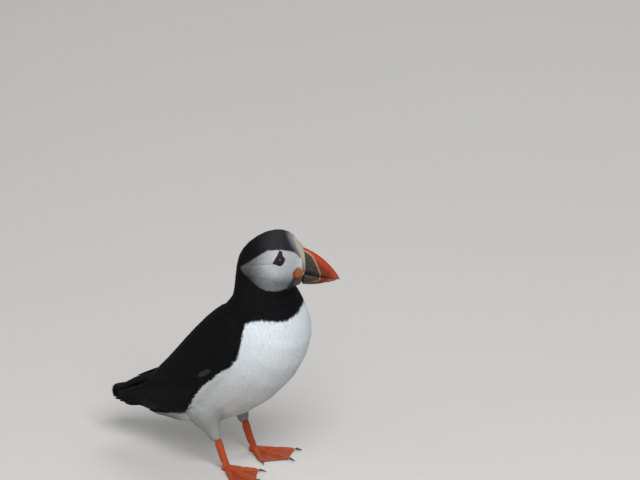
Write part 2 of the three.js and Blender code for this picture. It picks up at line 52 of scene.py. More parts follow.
# Node trees: a wire is one output of a node, and sums of wires add nodes.
class Wire:
    def __init__(self, maker, socket):
        self.maker = maker
        self.socket = socket

    def other(self, name):  # another output of the same node
        return Wire(self.maker, self.socket.node.outputs[name])

    def isVector(self):
        return self.socket.type in ("VECTOR", "RGBA")

    def __add__(self, other):
        return self.maker.math("ADD", self, other)

    __radd__ = __add__

    def __sub__(self, other):
        return self.maker.math("SUBTRACT", self, other)

    def __rsub__(self, other):
        return self.maker.math("SUBTRACT", other, self)

    def __mul__(self, other):
        return self.maker.math("MULTIPLY", self, other)

    __rmul__ = __mul__

    def __truediv__(self, other):
        return self.maker.math("DIVIDE", self, other)

    def __rtruediv__(self, other):
        return self.maker.math("DIVIDE", other, self)


class NodeMaker:
    def __init__(self, tree, material=None):
        self.tree = tree
        self.material = material

    def node(self, kind, settings=None, values=None, out=0):
        made = self.tree.nodes.new(kind)
        for key, value in (settings or {}).items():
            setattr(made, key, value)
        for key, value in (values or {}).items():
            socket = made.inputs[key]
            if isinstance(value, Wire):
                self.tree.links.new(value.socket, socket)
            elif socket.type == "VECTOR" and isinstance(value, (int, float)):
                socket.default_value = (value, value, value)
            elif socket.type == "RGBA" and len(value) == 3:
                socket.default_value = (*value, 1)
            else:
                socket.default_value = value
        return Wire(self, made.outputs[out]) if len(made.outputs) else None

    def math(self, operation, *values):
        vectors = any(
            v.isVector() if isinstance(v, Wire) else isinstance(v, (tuple, Vector))
            for v in values
        )
        kind = "ShaderNodeVectorMath" if vectors else "ShaderNodeMath"
        return self.node(kind, {"operation": operation}, dict(enumerate(values)))

    def mix(self, share, first, second):
        values = {0: share, 6: first, 7: second}
        return self.node("ShaderNodeMix", {"data_type": "RGBA"}, values, 2)

    def scaled(self, vector, scale):
        values = {0: vector, "Scale": scale}
        return self.node("ShaderNodeVectorMath", {"operation": "SCALE"}, values)

    def step(self, value, low, high):  # 0 below low and 1 above high, eased between
        settings = {"interpolation_type": "SMOOTHSTEP"}
        values = {"Value": value, "From Min": low, "From Max": high}
        return self.node("ShaderNodeMapRange", settings, values)

    def place(self):
        return self.node("ShaderNodeTexCoord", None, None, "Object")

    def attribute(self, name, out="Vector"):
        return self.node("ShaderNodeAttribute", {"attribute_name": name}, None, out)

    def noise(self, place, scale, detail=2.0):
        values = {"Vector": place, "Scale": scale, "Detail": detail}
        return self.node("ShaderNodeTexNoise", None, values)

    def split(self, vector):
        parts = self.node("ShaderNodeSeparateXYZ", None, {0: vector})
        return parts, parts.other("Y"), parts.other("Z")

    def polynomial(self, x, powers):  # powers as polyfit gives them, highest first
        total = x * float(powers[0]) + float(powers[1])
        for value in powers[2:]:
            total = total * x + float(value)
        return total

    def finish(self, colour, roughness, specular=0.5, relief=None):
        values = {"Base Color": colour, "Roughness": roughness, "Specular IOR Level": specular}
        if relief:  # its height, how strong it is, and how deep in millimetres
            height, strength, deep = relief
            bumps = {"Height": height, "Strength": strength, "Distance": deep * mm}
            values["Normal"] = self.node("ShaderNodeBump", None, bumps)
        shader = self.node("ShaderNodeBsdfPrincipled", None, values)
        self.node("ShaderNodeOutputMaterial", None, {"Surface": shader})
        return self.material


def materialMaker(name):
    made = bpy.data.materials.new(name)
    made.use_nodes = True
    made.node_tree.nodes.clear()
    return NodeMaker(made.node_tree, made)


# Meshes: making, measuring and smoothing them.
def meshObject(name, mesh):
    made = bpy.data.objects.new(name, mesh)
    bpy.context.scene.collection.objects.link(made)
    return made


def meshFrom(form, name):
    made = bpy.data.meshes.new(name)
    form.to_mesh(made)
    form.free()
    return made


def evaluatedMesh(holder):
    graph = bpy.context.evaluated_depsgraph_get()
    whole = holder.evaluated_get(graph)
    return bpy.data.meshes.new_from_object(whole, preserve_all_data_layers=True, depsgraph=graph)


def readNumbers(items, name, width=1, kind=np.float32):
    flat = np.empty(len(items) * width, kind)
    items.foreach_get(name, flat)
    return flat.reshape(-1, width) if width > 1 else flat


def placesOf(mesh):
    return readNumbers(mesh.vertices, "co", 3).astype(float)


def normalsOf(mesh):
    return readNumbers(mesh.vertex_normals, "vector", 3).astype(float)


def edgesOf(mesh):
    return readNumbers(mesh.edges, "vertices", 2, np.int32)


def setPlaces(mesh, places):
    mesh.vertices.foreach_set("co", places.astype(np.float32).ravel())
    mesh.update()


def store(mesh, name, values):
    kind, key = ("FLOAT_VECTOR", "vector") if values.ndim == 2 else ("FLOAT", "value")
    held = mesh.attributes.get(name) or mesh.attributes.new(name, kind, "POINT")
    held.data.foreach_set(key, values.astype(np.float32).ravel())


def unit(vectors):
    return vectors / np.maximum(np.linalg.norm(vectors, axis=-1, keepdims=True), 1e-12)


def eased(x, low, high):
    t = np.clip((x - low) / (high - low), 0, 1)
    return t * t * (3 - 2 * t)


def neighbourMean(values, pairs):
    flat = values if values.ndim == 2 else values[:, None]
    count = np.maximum(np.bincount(pairs.ravel(), minlength=len(flat)), 1)
    columns = []
    for column in flat.T:
        total = 0
        for near, far in (pairs.T, pairs.T[::-1]):
            total = total + np.bincount(near, column[far], len(flat))
        columns.append(total / count)
    return np.stack(columns, 1) if values.ndim == 2 else columns[0]


def blurred(values, pairs, rounds):
    for _ in range(rounds):
        values = 0.5 * values + 0.5 * neighbourMean(values, pairs)
    return values


def relaxed(places, pairs, rounds):  # smooths without drawing the form in
    for _ in range(rounds):
        places = places + 0.6 * (neighbourMean(places, pairs) - places)
        places = places - 0.62 * (neighbourMean(places, pairs) - places)
    return places


def softened(places, pairs, rounds, share):  # blurs small facets and keeps the broad form
    once = blurred(places, pairs, rounds)
    again = once + blurred(places - once, pairs, rounds)
    return places + share[:, None] * (again - places)


def grownCopy(names, grow, balls=()):  # the nodes' closed solids, swollen so that they touch
    joined = bmesh.new()
    for centre, radius in balls:
        at = Matrix.Translation(centre)
        bmesh.ops.create_icosphere(joined, subdivisions=3, radius=radius, matrix=at)
    for name in names:
        part = bmesh.new()
        part.from_mesh(nodes[name].data)
        bmesh.ops.remove_doubles(part, verts=part.verts, dist=0.002 * mm)
        part.normal_update()
        moves = [v.normal * grow for v in part.verts]
        for v, move in zip(part.verts, moves):
            v.co += move
        held = meshFrom(part, name)
        joined.from_mesh(held)
        bpy.data.meshes.remove(held)
    return meshFrom(joined, "grown")


def remeshed(mesh, voxel):
    holder = meshObject("holder", mesh)
    cells = holder.modifiers.new("cells", "REMESH")
    cells.mode = "VOXEL"
    cells.voxel_size = voxel
    made = evaluatedMesh(holder)
    bpy.data.objects.remove(holder)
    return made


def closedForm(names, voxel, grow, rounds, balls=()):  # one smooth surface over several nodes
    mesh = remeshed(grownCopy(names, grow, balls), voxel)
    places = relaxed(placesOf(mesh), edgesOf(mesh), rounds)
    setPlaces(mesh, places)
    setPlaces(mesh, places - normalsOf(mesh) * grow)
    return mesh


def bridged(form, rings):  # faces from each ring of points to the next; a ring of one is a pole
    for inner, outer in zip(rings, rings[1:]):
        count = max(len(inner), len(outer))
        for j in range(count):
            k = (j + 1) % count
            corners = [(inner, j), (outer, j), (outer, k), (inner, k)]
            spots = dict.fromkeys(ring[i % len(ring)] for ring, i in corners)
            form.faces.new(list(spots))


def treeOf(mesh):
    mesh.calc_loop_triangles()
    corners = readNumbers(mesh.loop_triangles, "vertices", 3, np.int32)
    return BVHTree.FromPolygons(placesOf(mesh).tolist(), corners.tolist())


def reachesTo(names, places):  # how far each place is from the nodes' solids, in millimetres
    tree = treeOf(grownCopy(names, 0))
    return np.array([tree.find_nearest(p)[3] for p in places.tolist()]) / mm


def lookedUp(table, at):
    return np.interp(at, list(table), list(table.values()))


def middleOf(name):
    low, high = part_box(name)
    return (low + high) / 2


bodyMiddle = (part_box("wing_left")[1].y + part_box("wing_right")[0].y) / 2

# The head's own frame: +X towards the bill and +Z up, in millimetres from the middle of the skull.
headPose = {"dip": math.radians(10), "eyeForward": 7.8, "eyeUp": 8.8}
eyeMiddles = {side: middleOf(f"eye_{side}") for side in sides}
acrossHead = eyeMiddles["left"] - eyeMiddles["right"]
headTurn = math.atan2(-acrossHead.x, acrossHead.y)
headAxes = Matrix.Rotation(headTurn, 3, "Z") @ Matrix.Rotation(headPose["dip"], 3, "Y")
eyeSpot = Vector((headPose["eyeForward"], 0, headPose["eyeUp"]))
headCentre = (eyeMiddles["left"] + eyeMiddles["right"]) / 2 - headAxes @ eyeSpot * mm
headTurned = np.array(headAxes)


def toHead(places):
    return (places - np.array(headCentre)) @ headTurned / mm


def fromHead(spots):
    return np.array(headCentre) + (np.asarray(spots, float) * mm) @ headTurned.T


# Lines on the side of the head, as heights or reaches in its frame.
furrow = np.polyfit([1.3, -11.9, -24.8], [4.9, 2.1, -3.6], 2)  # height of the crease by reach
bareEye = [  # the dark skin round the eye
    (6.5, 17.7), (2.4, 6.2), (10.7, 5.9), (10.0, 11.4), (8.4, 16.8),
]
cheekFront = [  # the grey of the cheek, ahead of the eye
    (12, 18.2), (12, 6), (28.4, 2), (27.4, 6.3), (25.3, 10.8), (22.5, 14.4), (18.6, 16.8),
]
plateOutline = [  # the dark plates of the bill
    (18, -14.5), (33.7, -12), (41.1, -9.4), (45.1, -6.6), (44.6, -1.3), (42.1, 3.1),
    (38.7, 8.2), (35.5, 12.2), (32.3, 14.3), (28.4, 15.6), (18, 17),
]


def outsideOf(outline, x, z):  # millimetres outside a convex outline given anticlockwise
    far = np.full(len(x), -1e9)
    for (ax, az), (bx, bz) in zip(outline, outline[1:] + outline[:1]):
        length = math.hypot(bx - ax, bz - az)
        far = np.maximum(far, ((x - ax) * (bz - az) - (z - az) * (bx - ax)) / length)
    return far


def outsideWire(maker, outline, x, z, soft):  # the same in a shader, its corners rounded
    far = -1000.0
    for (ax, az), (bx, bz) in zip(outline, outline[1:] + outline[:1]):
        length = math.hypot(bx - ax, bz - az)
        beyond = (x - ax) * ((bz - az) / length) - (z - az) * ((bx - ax) / length)
        far = maker.math("SMOOTH_MAX", far, beyond, soft)
    return far


# The skin: one closed form under the plumage, with the legs and the lids joined to it.
skinShape = {
    "voxel": 1.15 * mm,
    "legVoxel": 0.55 * mm,
    "swell": 0.2 * mm,
    "rounds": 26,
    "evenRounds": 60,
    "legRounds": 12,
    "depths": {  # of the coat over each part, in millimetres
        "head_hood": 1.1, "head_face": 0.85, "neck": 1.6, "trunk_breast": 1.5,
        "trunk_back": 1.7, "wings": 1.5, "thighs": 1.5,
    },
    "furrowDepth": 0.8,
}
parts = {name: [name] for name in skinShape["depths"]}
for part in ("wing", "thigh"):
    parts[f"{part}s"] = [f"{part}_{side}" for side in sides]
fleshNodes = [name for names in parts.values() for name in names]
legNodes = [f"{part}_{side}" for part in ("tarsus", "foot") for side in sides]
billNodes = ["upper_bill", "upper_bill_plate", "lower_bill", "lower_bill_plate", "cere"]

shell = closedForm(fleshNodes, skinShape["voxel"], skinShape["swell"], skinShape["rounds"])
shellPlaces, shellPairs = placesOf(shell), edgesOf(shell)
print("shell", len(shellPlaces))

toEach = {name: reachesTo(names, shellPlaces) for name, names in parts.items()}
toHeadParts = np.minimum(toEach["head_hood"], toEach["head_face"])
toBody = np.min([toEach[n] for n in ("neck", "trunk_breast", "trunk_back", "thighs")], 0)
evenShare = np.where(toEach["wings"] < toBody, eased(toBody, 2, 5), eased(toEach["wings"], 1.5, 5))
wingEdge = {  # how far forward the folded wing reaches, by height
    36: -54, 40.3: -41, 43.7: -28, 44.9: -16, 47.4: -8, 53.6: -0.9, 62.6: 0.2, 70.9: 5.2,
    79.3: 11.6, 85.8: 18.6, 93.6: 27.5, 101.2: 36.6, 105.4: 42.8, 114: 49.6, 128.5: 53.8,
    146: 55.6,
}
pastWing = shellPlaces[:, 0] / mm - lookedUp(wingEdge, shellPlaces[:, 2] / mm)
flank = eased(pastWing, -0.5, 1.5) * (toEach["wings"] < 14) * (shellPlaces[:, 2] < 122 * mm)
evenShare = np.maximum(evenShare, flank) * eased(toHeadParts, 2, 8)
evenShare = blurred(evenShare, shellPairs, 3)
shellPlaces = softened(shellPlaces, shellPairs, skinShape["evenRounds"], evenShare)
setPlaces(shell, shellPlaces)
shellNormals = normalsOf(shell)
shellTree = treeOf(shell)
reaches, heights = shellPlaces[:, 0] / mm, shellPlaces[:, 2] / mm
belongs = np.argmin(list(toEach.values()), 0)
inPart = {name: (belongs == i).astype(float) for i, name in enumerate(parts)}
headSpots = toHead(shellPlaces)
onHead = inPart["head_hood"] + inPart["head_face"] > 0
eyeReach = np.min(
    [np.linalg.norm(shellPlaces - np.array(p), axis=1) for p in eyeMiddles.values()], 0
) / mm
billReach, legReach = np.full((2, len(shellPlaces)), 99.0)
billReach[onHead] = reachesTo(billNodes, shellPlaces[onHead])
low = heights < 45
legReach[low] = reachesTo(legNodes, shellPlaces[low])

depth = sum(inPart[name] * value for name, value in skinShape["depths"].items())
depth = blurred(depth, shellPairs, 10)
besideBare = [  # the coat at each bare part, and how much deeper it gets with each millimetre
    (billReach, 0.2, 0.16), (legReach, 0.3, 0.12), (np.maximum(eyeReach - 4.2, 0), 0.25, 0.2),
]
for reach, least, deeper in besideBare:
    depth = np.minimum(depth, least + deeper * reach)
headX, headY, headZ = headSpots.T
besideFurrow = headZ - np.polyval(furrow, headX)
crease = np.exp(-((besideFurrow / 0.9) ** 2)) * eased(headX, -25, -12) * (headX < 2)
crease = crease * onHead * (np.abs(headY) > 8)
sunk = depth + skinShape["furrowDepth"] * crease
skinPlaces = shellPlaces - shellNormals * (sunk * mm)[:, None]
print("skin placed")

# Markings: how white and how grey each place is; the rest is black. A third share darkens the pale
# plumage: the thighs' dusky grey with painted shade on them, and painted shade under the folded
# wing.
collarHeights = {  # of the collar's lower edge, by degrees from straight ahead to the left
    -120: 143, -90: 144, -63: 145, -58: 147, -52: 148.3, -46: 149.1, -39: 148.8, -33: 147.9,
    -26: 146.9, -16: 146.1, -10: 146.9, -1: 148.1, 7: 150.4, 18: 152, 30: 151.6, 42: 150.6,
    54: 148.8, 63: 146.5, 90: 144, 120: 143,
}
toDark = np.min([toEach[n] for n in ("head_hood", "neck", "trunk_back", "wings")], 0)
toWhite = np.min([toEach[n] for n in ("trunk_breast", "thighs")], 0)
turnAhead = np.degrees(
    np.arctan2(shellPlaces[:, 1] - bodyMiddle, shellPlaces[:, 0] - middleOf("neck").x + 14 * mm)
)
overCollar = heights - lookedUp(collarHeights, turnAhead)
nearCollar = (toEach["neck"] < 14) & (toEach["wings"] > 1.5) & (toEach["trunk_back"] > 1.5)
white = np.where(nearCollar, eased(-overCollar, -0.7, 0.7), eased(toDark - toWhite, -0.7, 0.7))
facingDown = eased(-shellNormals[:, 2], -0.1, 0.25)
white = np.where(reaches < -45, np.minimum(white, facingDown), white)
clearOfWing = eased(pastWing, -0.7, 0.7)
overlapped = (toEach["wings"] < 1.5) & (heights < 120)
white = np.where(overlapped, np.maximum(white, clearOfWing), white)
shoulder = (toEach["wings"] < 9) & (heights > 112)
white = np.where(shoulder, np.minimum(white, clearOfWing), white)
grey = eased(toDark - toEach["head_face"], -0.5, 0.5)
inCheek = eased(-outsideOf(cheekFront, headX, headZ), -0.4, 0.4) * onHead * (np.abs(headY) > 4)
grey = np.maximum(grey, inCheek)
# The thighs' darker tone: their greyer feathers with painted shade.
duskAndShade = 0.38 * inPart["thighs"] + 0.3 * (toEach["thighs"] < 3)
duskAndShade = blurred(np.minimum(duskAndShade, 0.4), shellPairs, 12)
# Painted shade under the folded wing, low and towards the tail.
duskAndShade = np.maximum(duskAndShade, 0.66 * eased(reaches, -12, -38) * eased(heights, 66, 48))
marks = np.stack([white, grey, duskAndShade], 1)

# The lie of the plumage: the way feathers point, from the bill back over the body to the tail.
neckMiddle, tailMiddle = np.array(middleOf("neck")), np.array(middleOf("tail"))
spine = {  # the curve from neck to tail that the feathers follow
    "drop": 55 * mm, "reach": 65 * mm, "rise": 8 * mm, "billRoot": (33, 0, 2),
}
underNeck = neckMiddle - (0, 0, spine["drop"])
aheadOfTail = tailMiddle + (spine["reach"], 0, spine["rise"])
t = np.linspace(0, 1, 90)[:, None]
line = (1 - t) ** 3 * neckMiddle + 3 * t * (1 - t) ** 2 * underNeck
line = line + 3 * t**2 * (1 - t) * aheadOfTail + t**3 * tailMiddle
lineWay = unit(np.gradient(line, axis=0))
nearest = ((shellPlaces[:, None] - line[None]) ** 2).sum(2).argmin(1)
lie = lineWay[nearest]
fromBill = unit(shellPlaces - fromHead(spine["billRoot"]))
lie = np.where(onHead[:, None], fromBill, lie)
wingLow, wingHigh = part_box("wing_right")
wingWay = unit(np.array([wingLow.x - wingHigh.x, 0, -0.52 * (wingHigh.x - wingLow.x)]))
alongWing = unit(0.8 * wingWay + 0.2 * lineWay[nearest])
lie = np.where(inPart["wings"][:, None] > 0, alongWing, lie)
lie = np.where(inPart["thighs"][:, None] > 0, unit(np.array([0.1, 0, -1.0])), lie)
for _ in range(34):
    lie = 0.5 * lie + 0.5 * neighbourMean(lie, shellPairs)
    lie = unit(lie - shellNormals * (lie * shellNormals).sum(1, keepdims=True))
outward = unit(blurred(shellNormals, shellPairs, 4))
print("plumage laid")

lidShape = {
    "inner": 2.25,
    "hug": 2.75,  # out to here the lid follows the eyeball
    "blend": 0.7,  # and this much further out it lies on the skin
    "centre": 3.6,  # how far out from the eye's middle the patch is centred
    "overEye": 0.14,
    "overSkin": 0.12,
    "swell": {"at": 2.6, "high": 0.14, "wide": 0.3},  # the lid's rounded edge
    "sunk": {"wider": 1.04, "lower": 1.1},  # the outermost ring, under the skin
    "rings": 16,
    "round": 96,
    "wrinkles": 17,
    "wrinkleHigh": 0.07,
    "corner": 7,  # a larger power keeps the corners of the bare patch sharper
    "plate": 0.3,  # height of the horny plates above and below the eye
    "rim": (0.038, 0.013, 0.010),
    "rimShade": (0.02, 0.007, 0.006),
    "wet": (0.012, 0.008, 0.008),  # the inner edge
}
eyeRadius = (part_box("eye_left")[1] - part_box("eye_left")[0]).z / 2 / mm
eyeWays = {}  # the way each eye looks
for side, hand in sides.items():
    eyeWays[side] = (headAxes @ Vector((0.13, hand, 0.13))).normalized()


def bareReach(centre, way):  # how far the bare patch runs from a place in it, towards one side
    total = 0.0
    for (ax, az), (bx, bz) in zip(bareEye, bareEye[1:] + bareEye[:1]):
        across = np.array([bz - az, ax - bx]) / math.hypot(bx - ax, bz - az)
        room = across @ (np.array([ax, az]) - centre)
        total += max(across @ way / room, 0) ** lidShape["corner"]
    return total ** (-1 / lidShape["corner"])


def lidMesh(side):  # bare skin that hugs the eyeball and runs out to the corners of the dark patch
    way = np.array(eyeWays[side])
    across = unit(np.cross(way, np.array(headAxes @ Vector((0, 0, 1)))))
    up = np.cross(across, way)
    if up @ np.array(headAxes @ Vector((0, 0, 1))) < 0:
        across, up = -across, -up
    middle = np.array(eyeMiddles[side])
    centre = toHead(middle + way * lidShape["centre"] * mm)[[0, 2]]
    swell, sunk = lidShape["swell"], lidShape["sunk"]
    made = bmesh.new()
    ring = made.verts.layers.float.new("ring")
    rows = []
    for i in range(lidShape["rings"] + 2):
        share = min(i / lidShape["rings"], 1)
        last = i > lidShape["rings"]
        row = []
        for j in range(lidShape["round"]):
            turn = 2 * math.pi * j / lidShape["round"]
            flat = across * math.cos(turn) + up * math.sin(turn)
            wide = bareReach(centre, (flat @ headTurned)[[0, 2]])
            radius = lidShape["inner"] + (wide - lidShape["inner"]) * share**1.25
            ball = math.sqrt(max(eyeRadius**2 - radius**2, 0.1)) + lidShape["overEye"]
            start = Vector(middle + flat * radius * mm + way * 12 * mm)
            hit = shellTree.ray_cast(start, Vector(-way))[0]
            laid = max((np.array(hit) - middle) @ way / mm, 2.0) if hit else ball
            rest = max(laid + lidShape["overSkin"], ball if radius < 3.4 else 0)
            outer = lidShape["hug"] + lidShape["blend"]
            level = ball + (rest - ball) * eased(radius, lidShape["hug"], outer)
            fold = math.sin(lidShape["wrinkles"] * turn + 1.5 * math.sin(3 * turn))
            fold *= lidShape["wrinkleHigh"]
            edge = math.exp(-(((radius - swell["at"]) / swell["wide"]) ** 2))
            level += swell["high"] * edge + fold * (1 - share)
            high = radius * math.sin(turn)
            rise = eased(high, 2.9, 3.6) + eased(-high, 2.9, 3.4)
            level += lidShape["plate"] * rise * eased(wide - radius, 0.0, 0.5)
            if last:
                radius, level = radius * sunk["wider"], level - sunk["lower"]
            row.append(made.verts.new(middle + (flat * radius + way * level) * mm))
            row[-1][ring] = radius
        rows.append(row)
    bridged(made, rows)
    made.normal_update()
    if Vector(way).dot(made.faces[:][0].normal) < 0:
        bmesh.ops.reverse_faces(made, faces=made.faces[:])
    return meshFrom(made, "lid")


heel = {"from": 5.2, "drawn": 0.55, "top": 9}
jointBalls = {  # they fill out each joint: forward from the shank's back or front edge, and up
    "toes": {"edge": 1, "forward": -2.7, "up": 4.6, "radius": 3.6},
    "ankle": {"edge": 0, "forward": 3.3, "up": 25.6, "radius": 3.3},
}
joints = []
for side in sides:
    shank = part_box(f"tarsus_{side}")
    y = (shank[0].y + shank[1].y) / 2
    for ball in jointBalls.values():
        x = shank[ball["edge"]].x + ball["forward"] * mm
        joints.append((Vector((x, y, ball["up"] * mm)), ball["radius"] * mm))
legForm = closedForm(
    legNodes, skinShape["legVoxel"], skinShape["swell"], skinShape["legRounds"], joints
)
legPlaces = placesOf(legForm)
for side in sides:  # the heel pad draws in under the joint
    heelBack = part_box(f"foot_{side}")[0].x
    heelFrom = heelBack + heel["from"] * mm
    back = heelFrom - legPlaces[:, 0]
    beside = np.abs(legPlaces[:, 1] - middleOf(f"tarsus_{side}").y) < 9 * mm
    near = (back > 0) & (back < 8 * mm) & beside
    drawn = heel["drawn"] * eased(-legPlaces[:, 2] / mm, -heel["top"], -heel["top"] + 4)
    legPlaces[:, 0] += np.where(near, back * drawn, 0)
legPlaces[:, 2] = np.maximum(legPlaces[:, 2], 0.02 * mm)
setPlaces(legForm, legPlaces)
print("legs", len(legPlaces))

skinMesh = shell.copy()
setPlaces(skinMesh, skinPlaces)
store(skinMesh, "lie", lie)
store(skinMesh, "outward", outward)
store(skinMesh, "marks", marks)
store(skinMesh, "coatDepth", depth * mm)


def joinedObject(name, meshes):
    pieces = [meshObject(name, mesh) for mesh in meshes]
    with bpy.context.temp_override(
        active_object=pieces[0], object=pieces[0], selected_editable_objects=pieces
    ):
        bpy.ops.object.join()
    return pieces[0]


def unwrapped(piece):
    bpy.ops.object.select_all(action="DESELECT")
    piece.select_set(True)
    bpy.context.view_layer.objects.active = piece
    for layer in list(piece.data.uv_layers):
        piece.data.uv_layers.remove(layer)
    piece.data.uv_layers.new(name="OFBake")
    bpy.ops.object.mode_set(mode="EDIT")
    bpy.ops.mesh.select_all(action="SELECT")
    bpy.ops.uv.smart_project(angle_limit=1.1, island_margin=0.003)
    bpy.ops.object.mode_set(mode="OBJECT")


def wear(mesh, finish):
    mesh.materials.clear()
    mesh.materials.append(finish)


def finished(piece, slotName, *replaced):  # says what a piece rides on and stands for
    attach(piece, "root")
    if replaced:
        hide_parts(*replaced)
    return piece


def smooth(mesh):
    for polygon in mesh.polygons:
        polygon.use_smooth = True


def barePiece(name, mesh, finish, slotName, *replaced):
    smooth(mesh)
    wear(mesh, finish)
    piece = meshObject(name, mesh)
    unwrapped(piece)
    return finished(piece, slotName, *replaced)


# Finishes. Colours are linear light.
plumage = {
    "white": (0.71, 0.765, 0.80),
    # the pale plumage low down: mostly painted shade, with a little real staining
    "belly": (0.53, 0.525, 0.515),
    "face": (0.63, 0.65, 0.675),
    "faceGreyAndShade": (0.16, 0.27),  # shares of it left at the back and below: the cheek's real grey with painted shade
    "malar": (0.035, 0.036, 0.039),
    "gape": (0.16, 0.12, 0.11),
    "black": (0.0046, 0.0044, 0.0054),
    # painted sheen on the black crown
    "crown": (0.030, 0.029, 0.033),
    # the brow by the cere: grey feathers with a painted highlight
    "browGreyAndSheen": (0.47, 0.44, 0.47),
    "ridge": (0.43, 0.375, 0.285),
    "wing": (0.0042, 0.0038, 0.0042),
    "brownish": (0.036, 0.030, 0.029),
    "paleOval": {"middle": (17.5, 96), "turn": 32, "long": 9, "wide": 2.3},
    "bare": (0.014, 0.012, 0.015),
    "roughness": 0.72,
    "edges": {  # where a tone sets in and where it is full, in the head's own millimetres
        "belly": (0.165, 0.07),  # metres over the ground; below it the pale plumage takes painted shade and a little staining
        "wing": (20, 0), "brownish": (1.35, 0.6),
        "faceAhead": (-17, 9), "faceOver": (-14, 3),
        "crownAhead": (-17, 4), "crownOver": (8, 20),
        "browGreyAndSheenAhead": (31.5, 40.5), "browGreyAndSheenOver": (9, 13),
        "cheek": (-4.5, -7.5),  # the side of the face under the eye
        "malarAhead": (24.4, 26.0), "malarFoot": (-19.5, -17),
        "gapeAhead": (24.0, 25.4), "gapeFoot": (-17.5, -15.5),
    },
}

ridgeEdge = {"slope": 0.522, "from": (31.9, 32.5), "above": (6, 8)}  # the bare ridge over the bill


def headSpace(maker, place):  # row metres to the head's own millimetres
    turned = headAxes.transposed()
    values = {
        "Vector": place,
        "Location": -(turned @ headCentre) / mm,
        "Rotation": turned.to_euler(),
        "Scale": (1 / mm, 1 / mm, 1 / mm),
    }
    return maker.node("ShaderNodeMapping", {"vector_type": "POINT"}, values)


def plumageColour(maker, place, marksAndShadeWire):
    edges = plumage["edges"]
    seenReach, _, seenHeight = maker.split(maker.place())
    whiteShare, greyShare, duskAndShade = maker.split(marksAndShadeWire)
    x, y, z = maker.split(headSpace(maker, place))
    reach, _, height = maker.split(place)
    soft = maker.noise(place, 90, 3)
    fine = maker.noise(place, 420, 3)
    # Painted shade: the pale plumage darkens low on the body, with a little real staining.
    low = maker.step(height + soft * 0.03, *edges["belly"])
    pale = maker.mix(low * 0.85, plumage["white"], plumage["belly"])
    pale = maker.mix(soft * 0.3, pale, maker.math("MULTIPLY", pale, (0.92, 0.93, 0.95)))
    # Darkened by the thighs' dusky grey and by painted shade.
    pale = maker.math("MULTIPLY", pale, 1.0 - duskAndShade)
    # The face darkens towards the back and below: its real grey with painted shade.
    ahead = maker.step(x + fine * 3, *edges["faceAhead"])
    over = maker.step(z + fine * 2, *edges["faceOver"])
    rear, foot = plumage["faceGreyAndShade"]
    light = (ahead * (1 - rear) + rear) * (over * (1 - foot) + foot)
    face = maker.math("MULTIPLY", light, plumage["face"])
    onWing = maker.step(reach / mm - height / mm * 0.4, *edges["wing"])
    dark = maker.mix(onWing, plumage["black"], plumage["wing"])
    # A paler brownish oval on the folded wing.
    patch = plumage["paleOval"]
    turn = math.radians(patch["turn"])
    across, up = seenReach / mm - patch["middle"][0], seenHeight / mm - patch["middle"][1]
    along = (across * math.cos(turn) + up * math.sin(turn)) / patch["long"]
    beside = (up * math.cos(turn) - across * math.sin(turn)) / patch["wide"]
    within = maker.step(along * along + beside * beside + soft * 0.3, *edges["brownish"])
    dark = maker.mix(within, dark, plumage["brownish"])
    # Painted sheen: the black crown is lightened to a grey sheen.
    crown = maker.step(z, *edges["crownOver"])
    crown = crown * maker.step(x + fine * 3, *edges["crownAhead"])
    dark = maker.mix(crown, dark, plumage["crown"])
    # Near the cere the brow is light: the face's grey feathers with a painted highlight.
    browGreyAndSheen = maker.step(x + z * 0.8 + fine * 2, *edges["browGreyAndSheenAhead"])
    browGreyAndSheen = browGreyAndSheen * maker.step(z, *edges["browGreyAndSheenOver"])
    dark = maker.mix(browGreyAndSheen, dark, plumage["browGreyAndSheen"])
    colour = maker.mix(greyShare, dark, face)
    ridge = maker.step(x + z * ridgeEdge["slope"] + fine * 0.7, *ridgeEdge["from"])
    ridge = ridge * maker.step(z, *ridgeEdge["above"])
    colour = maker.mix(ridge, colour, plumage["ridge"])
    slant = x - z * 0.37 + fine * 1.2
    cheek = maker.step(z, *edges["cheek"])
    throat = maker.step(z, *edges["malarFoot"])
    malar = maker.step(slant, *edges["malarAhead"]) * cheek * throat
    colour = maker.mix(malar * 0.9, colour, plumage["malar"])
    gape = maker.step(x + fine, *edges["gapeAhead"]) * cheek
    gape = gape * maker.step(z, *edges["gapeFoot"])
    colour = maker.mix(gape, colour, plumage["gape"])
    return maker.mix(whiteShare, colour, pale)


def plumageFinish():
    maker = materialMaker("plumage")
    place = maker.attribute("spot")
    colour = plumageColour(maker, place, maker.attribute("marks"))
    vane = maker.node("ShaderNodeUVMap", {"uv_map": "vane"})
    across, along, _ = maker.split(vane)
    tone = maker.attribute("tone", "Fac")
    # Painted shade: each tuft darkens towards its root, under the tufts that overlap it.
    colour = maker.mix(maker.step(along, 0.7, 0.0) * 0.2, colour, colour * 0.5)
    colour = maker.math("MULTIPLY", colour, tone * 0.1 + 0.95)
    wave = maker.node(
        "ShaderNodeTexWave",
        {"wave_type": "BANDS", "bands_direction": "X"},
        {"Vector": vane, "Scale": 7.0, "Distortion": 1.2, "Detail": 2.0},
    )
    roughness = maker.noise(place, 300) * 0.16 + plumage["roughness"] - 0.04
    return maker.finish(colour, roughness, 0.09, (wave, 0.3, 0.06))


